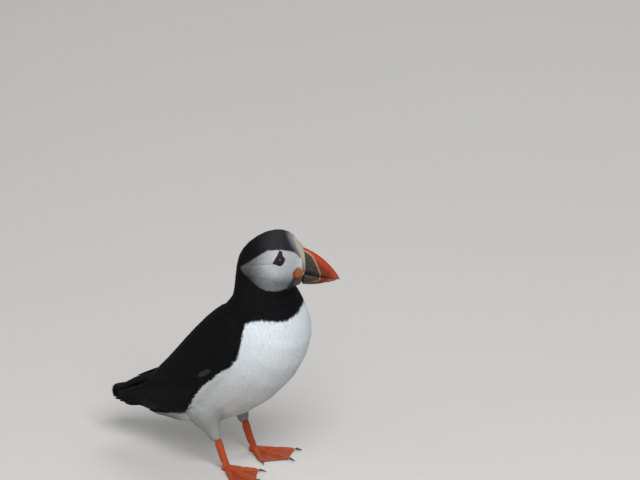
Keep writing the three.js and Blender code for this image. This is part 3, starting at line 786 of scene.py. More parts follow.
def downFinish():  # the skin's plumage, seen only between the tufts
    maker = materialMaker("down")
    place = maker.place()
    colour = plumageColour(maker, place, maker.attribute("marks"))
    fibre = maker.noise(place, 1600, 4)
    spot = headSpace(maker, place)
    x, y, z = maker.split(spot)
    colour = maker.math("MULTIPLY", colour, fibre * 0.3 + 0.75)
    bare = maker.step(outsideWire(maker, bareEye, x, z, 1.0), 0.6, 0.2)
    side = maker.step(maker.math("ABSOLUTE", y), 12, 14)
    colour = maker.mix(bare * side, colour, plumage["bare"])
    return maker.finish(colour, fibre * 0.2 + 0.65, 0.2, (fibre, 0.5, 0.1))


# Tufts: small closed vanes, from root at x 0 to tip at x 1, laid over the skin by Geometry Nodes.
tuftShapes = {
    "vaned": (4, 4),  # rows and columns of faces
    "fine": (4, 2),
    "variants": 4,
    "patch": 0.003,
    "colourAt": 0.7,  # how far along a tuft its colour is read
    "sizes": (0.82, 1.15),
    "packing": 5,  # tries for each square of the spacing
    "ruffleScale": 160.0,
    "camber": 0.09,
    "roots": 0.32,
    "narrow": 0.66,  # how much of the width is gone at the tip
    "lie": 0.42,  # a smaller power brings the tips nearer to parallel with the skin
}


def tuftMesh(rows, columns, draw):
    made = bmesh.new()
    vane = made.loops.layers.uv.new("vane")
    rise = made.verts.layers.float.new("rise")
    bend = draw.uniform(-0.12, 0.12)
    grid = []
    for i in range(rows + 1):
        v = (i / rows) ** 0.85
        half = 0.5 * min(1, tuftShapes["roots"] + 1.5 * v)
        half *= 1 - tuftShapes["narrow"] * (max(v - 0.5, 0) / 0.5) ** 2
        row = []
        for j in range(columns + 1):
            u = 2 * j / columns - 1
            x = v * (1 - 0.22 * u * u * v) - 0.05 * (1 - u * u) * (i == 0)
            x -= draw.uniform(0, 0.04) * (i == rows)
            spot = made.verts.new((x, half * u + bend * v * v, 0))
            spot[rise] = v ** tuftShapes["lie"] * (1 - tuftShapes["camber"] * u * u)
            row.append((spot, (j / columns, v)))
        grid.append(row)
    over, under = [], [tuple(grid[0]), tuple(reversed(grid[-1]))]
    for low, high in zip(grid, grid[1:]):
        for j in range(columns):
            over.append((low[j], high[j], high[j + 1], low[j + 1]))
        under.append((low[-1], high[-1], high[0], low[0]))
    for corners in over + under:
        face = made.faces.new([spot for spot, _ in corners])
        face.smooth = True
        for loop, (_, uv) in zip(face.loops, corners):
            loop[vane].uv = uv
    made.faces.ensure_lookup_table()
    for face in made.faces[len(over) :]:  # the rim stays crisp, so that the top shades evenly
        for edge in face.edges:
            edge.smooth = False
    made.normal_update()
    return meshFrom(made, "tuft")


def tuftKinds(build):
    kinds = bpy.data.collections.new(build)
    draw = np.random.default_rng(5)
    for i in range(tuftShapes["variants"]):
        mesh = tuftMesh(*tuftShapes[build], draw)
        kinds.objects.link(bpy.data.objects.new(f"{build}{i}", mesh))
    return kinds


def named(maker, name, kind="FLOAT_VECTOR"):
    return maker.node("GeometryNodeInputNamedAttribute", {"data_type": kind}, {"Name": name})


def kept(maker, geometry, name, value, kind="FLOAT_VECTOR"):
    settings = {"data_type": kind, "domain": "POINT"}
    values = {"Geometry": geometry, "Name": name, "Value": value}
    return maker.node("GeometryNodeStoreNamedAttribute", settings, values)


def randomly(maker, low, high, seed):
    settings = {"data_type": "FLOAT"}
    return maker.node("FunctionNodeRandomValue", settings, {2: low, 3: high, "Seed": seed}, 1)


def treeInputs(tree, wanted):
    for way in ("OUTPUT", "INPUT"):
        tree.interface.new_socket("Geometry", in_out=way, socket_type="NodeSocketGeometry")
    sockets = {}
    for name, kind in wanted.items():
        made = tree.interface.new_socket(name, in_out="INPUT", socket_type=f"NodeSocket{kind}")
        sockets[name] = made.identifier
    return sockets


coatInputs = {
    "Tufts": "Collection", "Skin": "Object", "Spacing": "Float", "Sway": "Float",
    "Ruffle": "Float", "Uneven": "Float", "Seed": "Int", "Finish": "Material",
}


def coatTree():
    tree = bpy.data.node_groups.new("coat", "GeometryNodeTree")
    sockets = treeInputs(tree, coatInputs)
    maker = NodeMaker(tree)
    given = maker.node("NodeGroupInput")
    spacing = given.other("Spacing")
    seed = given.other("Seed")
    values = {
        "Mesh": given,
        "Distance Min": spacing,
        "Density Max": tuftShapes["packing"] / (spacing * spacing),
        "Density Factor": named(maker, "cover", "FLOAT"),
        "Seed": seed,
    }
    settings = {"distribute_method": "POISSON"}
    points = maker.node("GeometryNodeDistributePointsOnFaces", settings, values)
    info = maker.node("GeometryNodeObjectInfo", None, {"Object": given.other("Skin")}, "Geometry")
    place = maker.node("GeometryNodeInputPosition")
    up = named(maker, "outward")
    way = named(maker, "lie")
    size = named(maker, "size")
    long, wide, _ = maker.split(size)

    def onSkin(value, at):
        values = {"Mesh": info, "Value": value, "Sample Position": at}
        settings = {"data_type": "FLOAT_VECTOR"}
        return maker.node("GeometryNodeSampleNearestSurface", settings, values)

    spot = place + maker.scaled(way, long * tuftShapes["colourAt"])
    laid = kept(maker, points, "spot", spot)
    laid = kept(maker, laid, "tone", randomly(maker, 0.0, 1.0, seed + 3), "FLOAT")
    lift = randomly(maker, 1.0 - given.other("Uneven"), 1.0, seed + 4)
    laid = kept(maker, laid, "lift", lift, "FLOAT")
    laid = kept(maker, laid, "rootUV", named(maker, "OFBake"))
    sway = randomly(maker, -1.0, 1.0, seed + 1) * given.other("Sway")
    values = {"Vector": way, "Axis": up, "Angle": sway}
    swayed = maker.node("ShaderNodeVectorRotate", {"rotation_type": "AXIS_ANGLE"}, values)
    settings = {"primary_axis": "X", "secondary_axis": "Z"}
    values = {"Primary Axis": swayed, "Secondary Axis": up}
    turn = maker.node("FunctionNodeAxesToRotation", settings, values)
    grown = randomly(maker, *tuftShapes["sizes"], seed + 2)
    scale = maker.node("ShaderNodeCombineXYZ", None, {0: long * grown, 1: wide * grown, 2: 1.0})
    settings = {"transform_space": "ORIGINAL"}
    values = {"Collection": given.other("Tufts")}
    values |= {"Separate Children": True, "Reset Children": True}
    kinds = maker.node("GeometryNodeCollectionInfo", settings, values)
    values = {4: 0, 5: tuftShapes["variants"] - 1, "Seed": seed + 5}
    which = maker.node("FunctionNodeRandomValue", {"data_type": "INT"}, values, 2)
    values = {
        "Points": laid, "Instance": kinds, "Pick Instance": True, "Instance Index": which,
        "Rotation": turn, "Scale": scale,
    }
    tufts = maker.node("GeometryNodeInstanceOnPoints", None, values)
    whole = maker.node("GeometryNodeRealizeInstances", None, {0: tufts})
    between = (place + named(maker, "spot")) * 0.5
    whole = kept(maker, whole, "marks", onSkin(named(maker, "marks"), between))
    _, _, deep = maker.split(size)
    rise = named(maker, "rise", "FLOAT")
    height = rise * deep * named(maker, "lift", "FLOAT")
    ruffle = maker.noise(place, tuftShapes["ruffleScale"]) * given.other("Ruffle")
    height = height + ruffle * rise
    settled = onSkin(place, place) + maker.scaled(onSkin(named(maker, "outward"), place), height)
    whole = maker.node("GeometryNodeSetPosition", None, {"Geometry": whole, "Position": settled})
    values = {"Geometry": whole, "Material": given.other("Finish")}
    whole = maker.node("GeometryNodeSetMaterial", None, values)
    maker.node("NodeGroupOutput", None, {"Geometry": whole})
    return tree, sockets


# Legs and lids: bare skin, a part of the skin piece.
legLook = {
    "toe": (0.45, 0.068, 0.015),
    "web": (0.30, 0.047, 0.015),
    "shade": (0.17, 0.04, 0.02),
    "scale": 950,
    "webScale": 420,
}


def legFinish():
    maker = materialMaker("foot")
    place = maker.place()
    values = {"Vector": place, "Scale": legLook["scale"]}
    cells = maker.node("ShaderNodeTexVoronoi", {"feature": "DISTANCE_TO_EDGE"}, values)
    seams = maker.step(cells, 0.0, 0.16)
    soft = maker.noise(place, 160, 3)
    fine = maker.noise(place, 900, 4)
    thin = maker.attribute("thin", "Fac")
    colour = maker.mix(thin, legLook["toe"], legLook["web"])
    colour = maker.mix(maker.step(soft, 0.45, 0.75) * 0.55, colour, legLook["shade"])
    colour = maker.math("MULTIPLY", colour, seams * 0.14 + fine * 0.3 + 0.72)
    ripple = maker.noise(place, legLook["webScale"], 3)
    height = maker.mix(thin, seams, ripple)
    return maker.finish(colour, fine * 0.25 + 0.4, 0.25, (height, 0.6, 0.15))


def lidFinish():
    maker = materialMaker("lid")
    place = maker.place()
    reach = maker.attribute("ring", "Fac")
    grain = maker.noise(place, 2400, 3)
    ring = maker.mix(grain, lidShape["rim"], lidShape["rimShade"])
    colour = maker.mix(maker.step(reach + grain * 0.3, 2.85, 3.1), ring, plumage["bare"])
    colour = maker.mix(maker.step(reach, 2.42, 2.34), colour, lidShape["wet"])
    return maker.finish(colour, grain * 0.3 + 0.45, 0.3, (grain, 0.5, 0.08))


legThin = eased(legPlaces[:, 2] / mm, 4.5, 1.5)  # the web lies low between the toes
toeReach = blurred(np.abs(normalsOf(legForm)[:, 2]), edgesOf(legForm), 6)
store(legForm, "thin", legThin * eased(toeReach, 0.86, 0.97))

coatFinish = plumageFinish()
field = skinMesh.copy()
wear(skinMesh, downFinish())
wear(legForm, legFinish())
lids = [lidMesh(side) for side in sides]
lidDress = lidFinish()
for lid in lids:
    wear(lid, lidDress)
skin = joinedObject("skin", [skinMesh, legForm, *lids])
smooth(skin.data)
unwrapped(skin)
finished(skin, "white_plumage", *fleshNodes, *legNodes)
skinSpots = readNumbers(skin.data.uv_layers["OFBake"].data, "uv", 2)
fieldLoops = len(field.loops)
fieldMap = field.uv_layers.new(name="OFBake")
fieldMap.data.foreach_set("uv", skinSpots[:fieldLoops].ravel())
print("skin", len(skin.data.loop_triangles), len(skin.data.polygons))

# Where each tuft grows and how long it is, in millimetres.
sideways = np.abs(headY) > 7
openSkin = eased(eyeReach, 3.9, 4.3)
for share in (0.0, 0.5, 1.0):  # no tuft starts in the bare patch round the eye or lies over it
    reached = toHead(shellPlaces + lie * (share * 1.5 * mm))
    bareOf = outsideOf(bareEye, reached[:, 0], reached[:, 2])
    openSkin *= np.where(onHead & sideways, eased(bareOf, -0.5, 0.1), 1.0)
openSkin *= eased(billReach, 0.25, 0.7)
openSkin *= eased(legReach, 0.1, 0.6)
ridgeSkin = eased(headX + headZ * ridgeEdge["slope"], *ridgeEdge["from"])
openSkin *= 1 - ridgeSkin * eased(headZ, *ridgeEdge["above"])
nearEye = 0.55 + 0.45 * eased(eyeReach, 4.5, 11)
nearBill = eased(billReach, 0, 30)


def covering(*names):
    share = sum(inPart[name] for name in names)
    return np.clip(blurred(share, shellPairs, 3) * 1.3 - 0.15, 0, 1)


headHalves = {"_left": (headY > 0) * 1.0, "_right": (headY <= 0) * 1.0}
onLeft = shellPlaces[:, 1] > bodyMiddle
bodyHalves = {"_left": onLeft * 1.0, "_right": ~onLeft * 1.0}
whole = {"": 1.0}
isUndertail = eased(reaches, -52, -62) * eased(heights, 62, 52)
coverLine = {"level": 92.5, "slope": 0.375, "under": 6}  # wing coverts end below this line
overLine = heights - coverLine["level"] - coverLine["slope"] * reaches
coverts = covering("wings") * eased(overLine, -coverLine["under"] - 4, -coverLine["under"])
flankCover = covering("wings") * eased(pastWing, -1, 0.5) * (heights < 122)
breastCover = np.maximum(covering("trunk_breast"), flankCover) * (1 - isUndertail)
undertail = covering("trunk_breast") * isUndertail * eased(-shellNormals[:, 2], 0.0, 0.3)
coats = {  # long: of a tuft; wide: as a share of that; spacing: from root to root
    "face_plumage": {
        "cover": covering("head_face"), "halves": headHalves,
        "long": (1.3 + 1.7 * nearBill) * nearEye,
        "wide": 0.42, "spacing": 0.74, "build": "fine", "slot": "grey_plumage",
    },
    "hood_plumage": {
        "cover": covering("head_hood"), "halves": whole,
        "long": (1.5 + 3.0 * nearBill) * nearEye,
        "wide": 0.4, "spacing": 0.95, "build": "fine", "slot": "black_plumage",
    },
    "neck_plumage": {
        "cover": covering("neck"), "halves": whole, "long": 5.6,
        "wide": 0.36, "spacing": 1.25, "build": "fine", "slot": "black_plumage",
    },
    "breast_plumage": {
        "cover": breastCover, "halves": bodyHalves, "long": 6.2,
        "wide": 0.32, "spacing": 1.0, "build": "fine", "slot": "white_plumage",
    },
    "undertail_plumage": {
        "cover": undertail, "halves": whole, "long": 9,
        "wide": 0.34, "spacing": 1.6, "build": "fine", "slot": "white_plumage",
    },
    "thigh_plumage": {
        "cover": covering("thighs") * eased(toEach["wings"], 0.5, 2.5), "halves": whole,
        "long": 3 + 3 * eased(legReach, 0, 14),
        "wide": 0.34, "spacing": 1.05, "build": "fine", "slot": "white_plumage",
        "ruffle": 0.2,
    },
    "back_plumage": {
        "cover": covering("trunk_back") * eased(reaches, -72, -62), "halves": whole, "long": 8.5,
        "wide": 0.5, "spacing": 1.9, "build": "vaned", "slot": "black_plumage",
    },
    "covert_plumage": {
        "cover": coverts * eased(reaches, -64, -54), "halves": bodyHalves, "long": 8,
        "wide": 0.5, "spacing": 1.85, "build": "vaned", "slot": "black_plumage",
    },
}
growth = {"sway": 0.28, "ruffle": 0.08, "uneven": 0.05, "least": 0.7, "seedStep": 20}
coatNodes, coatSockets = coatTree()
kinds = {build: tuftKinds(build) for build in ("vaned", "fine")}
target = meshObject("target", field)


def coatPiece(name, look, half, seed):
    mesh = field.copy()
    store(mesh, "cover", look["cover"] * half * openSkin)
    long = look["long"] * (0.35 + 0.65 * eased(billReach, 0, 3))
    size = np.stack([long, np.maximum(long * look["wide"], growth["least"]), depth], 1)
    store(mesh, "size", size * mm)
    holder = meshObject(name, mesh)
    grow = holder.modifiers.new("coat", "NODES")
    grow.node_group = coatNodes
    values = {
        "Tufts": kinds[look["build"]],
        "Skin": target,
        "Spacing": look["spacing"] * mm,
        "Sway": growth["sway"],
        "Ruffle": look.get("ruffle", growth["ruffle"]) * mm,
        "Uneven": growth["uneven"],
        "Seed": seed,
        "Finish": coatFinish,
    }
    for key, value in values.items():
        grow[coatSockets[key]] = value
    made = evaluatedMesh(holder)
    bpy.data.objects.remove(holder)
    made.attributes.remove(made.attributes["OFBake"])
    rootSpots = readNumbers(made.attributes["rootUV"].data, "vector", 3)[:, :2]
    within = readNumbers(made.attributes["vane"].data, "vector", 2)
    corners = readNumbers(made.loops, "vertex_index", 1, np.int32)
    spots = rootSpots[corners] + (within - 0.5) * tuftShapes["patch"]
    layer = made.uv_layers.new(name="OFBake")
    layer.data.foreach_set("uv", np.clip(spots, 0, 1).astype(np.float32).ravel())
    for extra in ("rise", "lift", "size", "lie", "outward", "coatDepth", "cover", "rootUV", "id"):
        if extra in made.attributes:
            made.attributes.remove(made.attributes[extra])
    made.calc_loop_triangles()
    print(name, len(made.loop_triangles), "triangles")
    finished(meshObject(name, made), look["slot"])


seed = 0
for name, look in coats.items():
    for ending, half in look["halves"].items():
        coatPiece(name + ending, look, half, seed)
        seed += growth["seedStep"]
bpy.data.objects.remove(target)

# Flight feathers: long closed blades laid over the folded wing, lowest rows first.
blade = {
    "rows": 14, "columns": 6, "thick": 0.16, "vaneSag": 0.35, "shaft": 0.12, "tilt": 0.22,
    "tipReach": 13.5,  # from the body's middle, for a tip past the wing's skin
    "castFrom": 0.02, "castTo": 0.034,  # where the skin under a blade is looked for, in metres
}
skinBody = treeOf(field)
wingBlades = {  # lines of roots and tips seen from the side, in millimetres: (reach, height)
    "primaries": {
        "count": 7, "wide": 8.5, "base": 0.35, "step": 0.1, "pointed": 0.6,
        "roots": [(-14, 58), (-36, 70)],
        "tips": [(-56, 37), (-71, 36), (-84, 36), (-94, 39)],
    },
    "secondaries": {
        "count": 11, "wide": 10, "base": 0.5, "step": 0.06, "pointed": 0.35,
        "roots": [(20, 98), (-4, 92), (-24, 84)],
        "tips": [(-12, 52), (-32, 45), (-58, 46)],
    },
    "greater": {
        "count": 13, "wide": 7.5, "base": 0.85, "step": 0.05, "pointed": 0.25,
        "roots": [(31, 112), (4, 104), (-20, 94)],
        "tips": [(11, 82), (-10, 79), (-42, 71)],
    },
    "tertials": {
        "count": 5, "wide": 13, "base": 1.15, "step": 0.16, "pointed": 0.3,
        "roots": [(-8, 99), (-14, 105), (-18, 109)],
        "tips": [(-62, 60), (-55, 69), (-48, 77)],
    },
}


def alongLine(points, share):
    points = np.array(points, float)
    reach = np.linspace(0, 1, len(points))
    return np.array([np.interp(share, reach, points[:, k]) for k in (0, 1)])


def fromSide(spot, hand):  # the place on the wing under a spot of the side view
    x, z = spot * mm
    start = Vector((x, bodyMiddle + hand * 0.09, z))
    hit, normal, _, _ = skinBody.ray_cast(start, Vector((0, -hand, 0)), 0.085)
    if hit is None:
        tip = np.array([x, bodyMiddle + hand * blade["tipReach"] * mm, z])
        return tip, np.array([0, hand * 0.8, 0.6])
    return np.array(hit), np.array(normal)


def bladeGrid(root, tip, up, wide, height, tilt, pointed, laid=True):
    rows, columns = blade["rows"], blade["columns"]
    way = tip - root
    length = np.linalg.norm(way)
    way = way / length
    up = unit(up - way * (up @ way))
    across = np.cross(up, way)
    v = np.linspace(0, 1, rows + 1) ** 0.9
    u = np.linspace(-1, 1, columns + 1)
    half = 0.5 * wide * mm * np.minimum(1, 0.45 + 1.4 * v)
    taper = np.clip((v - 1 + pointed) / pointed, 0, 1)
    half = half * np.sqrt(np.maximum(1 - taper**2.2, 0.012))
    flat = root + way * (v[:, None, None] * length) + across * (half[:, None, None] * u[:, None])
    level = np.full(flat.shape[:2], np.nan if laid else 0.0)
    for i in range(rows + 1 if laid else 0):
        for j in range(columns + 1):
            start = Vector(flat[i, j] + up * blade["castFrom"])
            hit, _, _, far = skinBody.ray_cast(start, Vector(-up), blade["castTo"])
            if hit is not None:
                level[i, j] = blade["castFrom"] - far
    for i in range(rows + 1):
        good = np.isfinite(level[i])
        if good.any():
            level[i] = np.interp(u, u[good], level[i][good])
        else:
            level[i] = level[i - 1] * 0.85 if i else 0
    for _ in range(3):
        level[1:-1] = 0.5 * level[1:-1] + 0.25 * (level[:-2] + level[2:])
    body = height * (0.35 + 0.65 * v[:, None]) - blade["vaneSag"] * u**2 * 0.6
    body = body + tilt * u * (0.4 + 0.6 * v[:, None])
    top = body + blade["shaft"] * np.exp(-((u / 0.12) ** 2)) * (1 - v[:, None])
    under = body - blade["thick"] * (1 - u**2) ** 0.5 * (1 - 0.6 * v[:, None]) - 0.02
    place = flat + up * level[..., None]
    return place + up * (top * mm)[..., None], place + up * (under * mm)[..., None]


def bladeMesh(name, sheets, finish):
    made = bmesh.new()
    vane = made.loops.layers.uv.new("vane")
    patch = made.loops.layers.uv.new("OFBake")
    tone = made.verts.layers.float.new("tone")
    rows, columns = blade["rows"], blade["columns"]
    across = math.ceil(math.sqrt(len(sheets) / 3))
    down = math.ceil(len(sheets) / across)

    def addFace(spots, corners, cell, half):
        face = made.faces.new(spots)
        face.smooth = True
        for loop, (a, b) in zip(face.loops, corners):
            loop[vane].uv = (b / columns, a / rows)
            x = cell[0] + (0.02 + 0.96 * a / rows) / across
            y = cell[1] + (0.03 + 0.46 * b / columns + 0.48 * half) / down
            loop[patch].uv = (x, y)

    for k, (top, under) in enumerate(sheets):
        shade = rng.uniform()
        cell = (k % across / across, k // across / down)
        layers = []
        for sheet in (top, under):
            layers.append([[made.verts.new(p) for p in row] for row in sheet])
            for row in layers[-1]:
                for spot in row:
                    spot[tone] = shade
        for s, grid in enumerate(layers):
            for i in range(rows):
                for j in range(columns):
                    corners = [(i, j), (i, j + 1), (i + 1, j + 1), (i + 1, j)]
                    if s == 0:
                        corners.reverse()
                    addFace([grid[a][b] for a, b in corners], corners, cell, s)
        rim = [(0, j) for j in range(columns)] + [(i, columns) for i in range(rows)]
        rim += [(rows, columns - j) for j in range(columns)] + [(rows - i, 0) for i in range(rows)]
        for (a, b), (c, d) in zip(rim, rim[1:] + rim[:1]):
            over, below = layers
            spots = [over[a][b], over[c][d], below[c][d], below[a][b]]
            addFace(spots, [(a, b), (c, d), (c, d), (a, b)], cell, 0)
    bmesh.ops.recalc_face_normals(made, faces=made.faces)
    mesh = meshFrom(made, name)
    wear(mesh, finish)
    return mesh


bladeLook = {
    "dark": (0.0036, 0.0033, 0.0040),
    "brownish": (0.008, 0.007, 0.0068),
    "rim": (0.013, 0.0115, 0.011),
    "shaft": (0.006, 0.0055, 0.0055),
}


def bladeFinish():
    maker = materialMaker("flight feather")
    place = maker.place()
    vane = maker.node("ShaderNodeUVMap", {"uv_map": "vane"})
    across, along, _ = maker.split(vane)
    tone = maker.attribute("tone", "Fac")
    soft = maker.noise(place, 120, 3)
    side = maker.math("ABSOLUTE", across - 0.5) * 2
    brownish = maker.step(soft + tone * 0.3, 0.55, 0.85)
    colour = maker.mix(brownish * 0.6, bladeLook["dark"], bladeLook["brownish"])
    rim = maker.step(along, 0.9, 0.99) + maker.step(side, 0.86, 0.97) * 0.5
    colour = maker.mix(rim * (tone * 0.5 + 0.3), colour, bladeLook["rim"])
    colour = maker.mix(maker.step(side, 0.1, 0.04), colour, bladeLook["shaft"])
    slant = (side * -1.1 + along * 9) * 16
    barbs = maker.math("SINE", slant * 3.1)
    return maker.finish(colour, soft * 0.2 + 0.62, 0.08, (barbs, 0.25, 0.05))


flightFinish = bladeFinish()
for side, hand in sides.items():
    sheets = []
    for row in wingBlades.values():
        for k in range(row["count"]):
            share = k / (row["count"] - 1)
            root, rootUp = fromSide(alongLine(row["roots"], share), hand)
            tip, tipUp = fromSide(alongLine(row["tips"], share) + rng.uniform(-0.7, 0.7, 2), hand)
            height = row["base"] + row["step"] * k
            tilt = -hand * blade["tilt"]
            up = unit(rootUp + tipUp)
            sheets.append(bladeGrid(root, tip, up, row["wide"], height, tilt, row["pointed"]))
    piece = meshObject(f"flight_{side}", bladeMesh(f"flight_{side}", sheets, flightFinish))
    finished(piece, "black_plumage")
print("wings")

tailLow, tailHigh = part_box("tail")
tailMid = (tailLow.y + tailHigh.y) / 2
tailLook = {
    "count": 12, "wide": 11, "spread": 0.66, "arch": 2.4, "tuck": 2.2, "round": 6,
    "rootHeight": 55.5, "tipHeight": 43.6, "rootReach": -62, "rootSpread": 5,
}
coverLook = {
    "count": 11, "wide": 7.5, "from": -62, "to": -95, "spread": 12.5, "rows": 5, "back": 7,
}


def rumpTop(reach, y):  # the top of the rump, or of the tail behind it
    hit = skinBody.ray_cast(Vector((reach * mm, y, 0.2)), Vector((0, 0, -1)))[0]
    onTail = tailHigh.z - 2 * mm + (reach * mm - tailHigh.x) * 0.3
    return np.array((reach * mm, y, max(hit.z if hit else 0, onTail)))


sheets = []
for k in range(tailLook["count"]):
    share = k / (tailLook["count"] - 1) * 2 - 1
    rank = abs(share)
    middle, rootSide = tailMid / mm, share * tailLook["rootSpread"]
    root = (tailLook["rootReach"], middle + rootSide, tailLook["rootHeight"] - rank)
    wide = (tailHigh.y - tailLow.y) / 2 / mm * tailLook["spread"]
    tipReach = tailLow.x / mm + 1 + rank**2 * tailLook["round"]
    tip = (tipReach, middle + share * wide, tailLook["tipHeight"] - rank**2 * tailLook["arch"])
    up = unit(np.array([-0.2, share * 0.4, 1.0]))
    tilt = -math.copysign(0.25, share)
    height = 1.4 - rank * tailLook["tuck"]
    ends = [np.array(end) * mm for end in (root, tip)]
    sheets.append(bladeGrid(*ends, up, tailLook["wide"], height, tilt, 0.3, False))
for row in range(coverLook["rows"]):  # the coverts over the root of the tail
    for k in range(coverLook["count"]):
        share = k / (coverLook["count"] - 1) * 2 - 1
        shift = coverLook["back"] * row
        y = tailMid + share * coverLook["spread"] * mm
        ends = [rumpTop(coverLook[end] + shift, y) for end in ("from", "to")]
        up = unit(np.array([-0.4, share * 0.5, 1.0]))
        height = 1.2 + 0.25 * row - 0.5 * abs(share)
        laid = row > 1
        sheets.append(bladeGrid(*ends, up, coverLook["wide"], height, -share * 0.2, 0.4, laid))
piece = meshObject("tail_feathers", bladeMesh("tail_feathers", sheets, flightFinish))
finished(piece, "black_plumage", "tail")
print("tail")

# The bill: one horny form over both jaws, with the mouth, grooves, a ridge and nostrils worked in.
bill = {
    "voxel": 0.33 * mm,
    "swell": 0.24 * mm,
    "rounds": 12,
    "mouth": {"deep": 0.1, "wide": 0.34, "ends": 58},
    "ridgeHigh": 0.42,
    "ridgeWide": 0.75,
    "grooveDeep": 0.4,
    "grooves": [6.6, 11.0, 15.0],  # beyond the ridge, in millimetres
    "grooveWide": 0.6,
    "grooveTop": 4,
    "nostril": {"from": (31.5, -1.6), "to": (37.5, -3.4), "deep": 0.6, "wide": 0.4},
    "culmen": (0.37, 0.043, 0.010),
    "red": (0.20, 0.028, 0.008),
    "redDeep": (0.13, 0.024, 0.012),
    "tip": (0.30, 0.066, 0.030),
    "mouthCreaseShade": (0.02, 0.008, 0.006),
    "edge": (0.26, 0.088, 0.055),
    "plate": (0.026, 0.022, 0.021),
    "plateLight": (0.06, 0.05, 0.043),
    "ridge": (0.27, 0.15, 0.085),
    "cream": (0.42, 0.24, 0.14),
    "edges": {  # in millimetres under the culmen, over the gonys, ahead, up or beyond the plate
        "culmen": (-5.6, -2.2), "deep": (-4.5, -8.5), "deepAhead": (56, 50), "tip": (53, 60),
        "gonys": (3.4, 2.0), "plate": (-0.1, 0.2), "plateGrain": (0.35, 0.7),
        "ridge": (1.0, 0.4), "ridgeFoot": (-11.5, -9), "cream": (-6, 14), "mouth": (0.42, 0.1),
    },
}
jawNodes = {jaw: [f"{jaw}_bill", f"{jaw}_bill_plate"] for jaw in ("upper", "lower")}


def jawLine(spots, pick):  # height of a jaw's top or bottom along its reach, as a curve
    reach, height = [], []
    for low in np.arange(27, 61, 2.0):
        near = spots[(spots[:, 0] >= low) & (spots[:, 0] < low + 2)]
        if len(near):
            reach.append(near[:, 0].mean())
            height.append(pick(near[:, 2]))
    return np.polyfit(reach, height, 3)


billForm = closedForm(sum(jawNodes.values(), []), bill["voxel"], bill["swell"], bill["rounds"])
billSpots = toHead(placesOf(billForm))
culmenLine = jawLine(billSpots, np.max)
gonysLine = jawLine(billSpots, np.min)
jawSpots = {}
for jaw, names in jawNodes.items():
    jawSpots[jaw] = np.concatenate([toHead(placesOf(nodes[name].data)) for name in names])
mouthLine = (jawLine(jawSpots["upper"], np.min) + jawLine(jawSpots["lower"], np.max)) / 2


def billRelief(mesh):
    places = placesOf(mesh)
    x, y, z = toHead(places).T
    beyond = outsideOf(plateOutline, x, z)
    raised = bill["ridgeHigh"] * np.exp(-((beyond / bill["ridgeWide"]) ** 2)) * (x > 25)
    cut = np.zeros(len(x))
    for gap in bill["grooves"]:
        bow = 0.012 * (z + 4) ** 2
        here = np.exp(-(((beyond - gap + bow) / bill["grooveWide"]) ** 2))
        cut += here * eased(z, bill["grooveTop"] - gap * 0.3, -5) * eased(beyond, 2, 5)
    nostril = bill["nostril"]
    (ax, az), (bx, bz) = nostril["from"], nostril["to"]
    dx, dz = bx - ax, bz - az
    share = np.clip(((x - ax) * dx + (z - az) * dz) / (dx**2 + dz**2), 0, 1)
    off = np.hypot(x - ax - share * dx, z - az - share * dz)
    slit = nostril["deep"] * np.exp(-((off / nostril["wide"]) ** 2))
    mouth = bill["mouth"]
    split = mouth["deep"] * np.exp(-(((z - np.polyval(mouthLine, x)) / mouth["wide"]) ** 2))
    split *= eased(-x, -mouth["ends"], 4 - mouth["ends"])
    height = raised * (np.abs(y) > 1) * 0.8 - cut * bill["grooveDeep"] - slit - split
    height = blurred(height, edgesOf(mesh), 1)
    setPlaces(mesh, places + normalsOf(mesh) * (height * mm)[:, None])


def billFinish():
    edges = bill["edges"]
    maker = materialMaker("bill")
    place = maker.place()
    x, y, z = maker.split(headSpace(maker, place))
    grain = maker.noise(place, 700, 4)
    soft = maker.noise(place, 190, 3)
    beyond = outsideWire(maker, plateOutline, x, z, 0.6) + (soft - 0.5) * 0.5
    under = z - maker.polynomial(x, culmenLine)
    culmen = maker.step(under + soft * 1.5, *edges["culmen"])
    red = maker.mix(culmen, bill["red"], bill["culmen"])
    deep = maker.step(under + soft, *edges["deep"]) * maker.step(x, *edges["deepAhead"])
    red = maker.mix(deep * 0.85, red, bill["redDeep"])
    red = maker.mix(maker.step(x, *edges["tip"]), red, bill["tip"])
    rim = maker.step(z - maker.polynomial(x, gonysLine) + soft, *edges["gonys"])
    red = maker.mix(rim * 0.85, red, bill["edge"])
    light = maker.step(grain, *edges["plateGrain"])
    plate = maker.mix(light, bill["plate"], bill["plateLight"])
    band = maker.step(maker.math("ABSOLUTE", beyond - 0.3), *edges["ridge"])
    colour = maker.mix(maker.step(beyond, *edges["plate"]), plate, red)
    ridge = maker.mix(maker.step(z, *edges["cream"]), bill["ridge"], bill["cream"])
    colour = maker.mix(band * 0.75 * maker.step(z, *edges["ridgeFoot"]), colour, ridge)
    # Painted shade: the crease along the mouth line is darkened.
    mouth = maker.math("ABSOLUTE", z - maker.polynomial(x, mouthLine))
    colour = maker.mix(maker.step(mouth, *edges["mouth"]) * 0.25, colour, bill["mouthCreaseShade"])
    colour = maker.math("MULTIPLY", colour, grain * 0.35 + 0.82)
    roughness = grain * 0.2 + soft * 0.12 + 0.38
    return maker.finish(colour, roughness, 0.2, (grain, 0.25, 0.12))


billRelief(billForm)
barePiece("bill", billForm, billFinish(), "bill_red", *sum(jawNodes.values(), []))
print("bill", len(billForm.polygons))

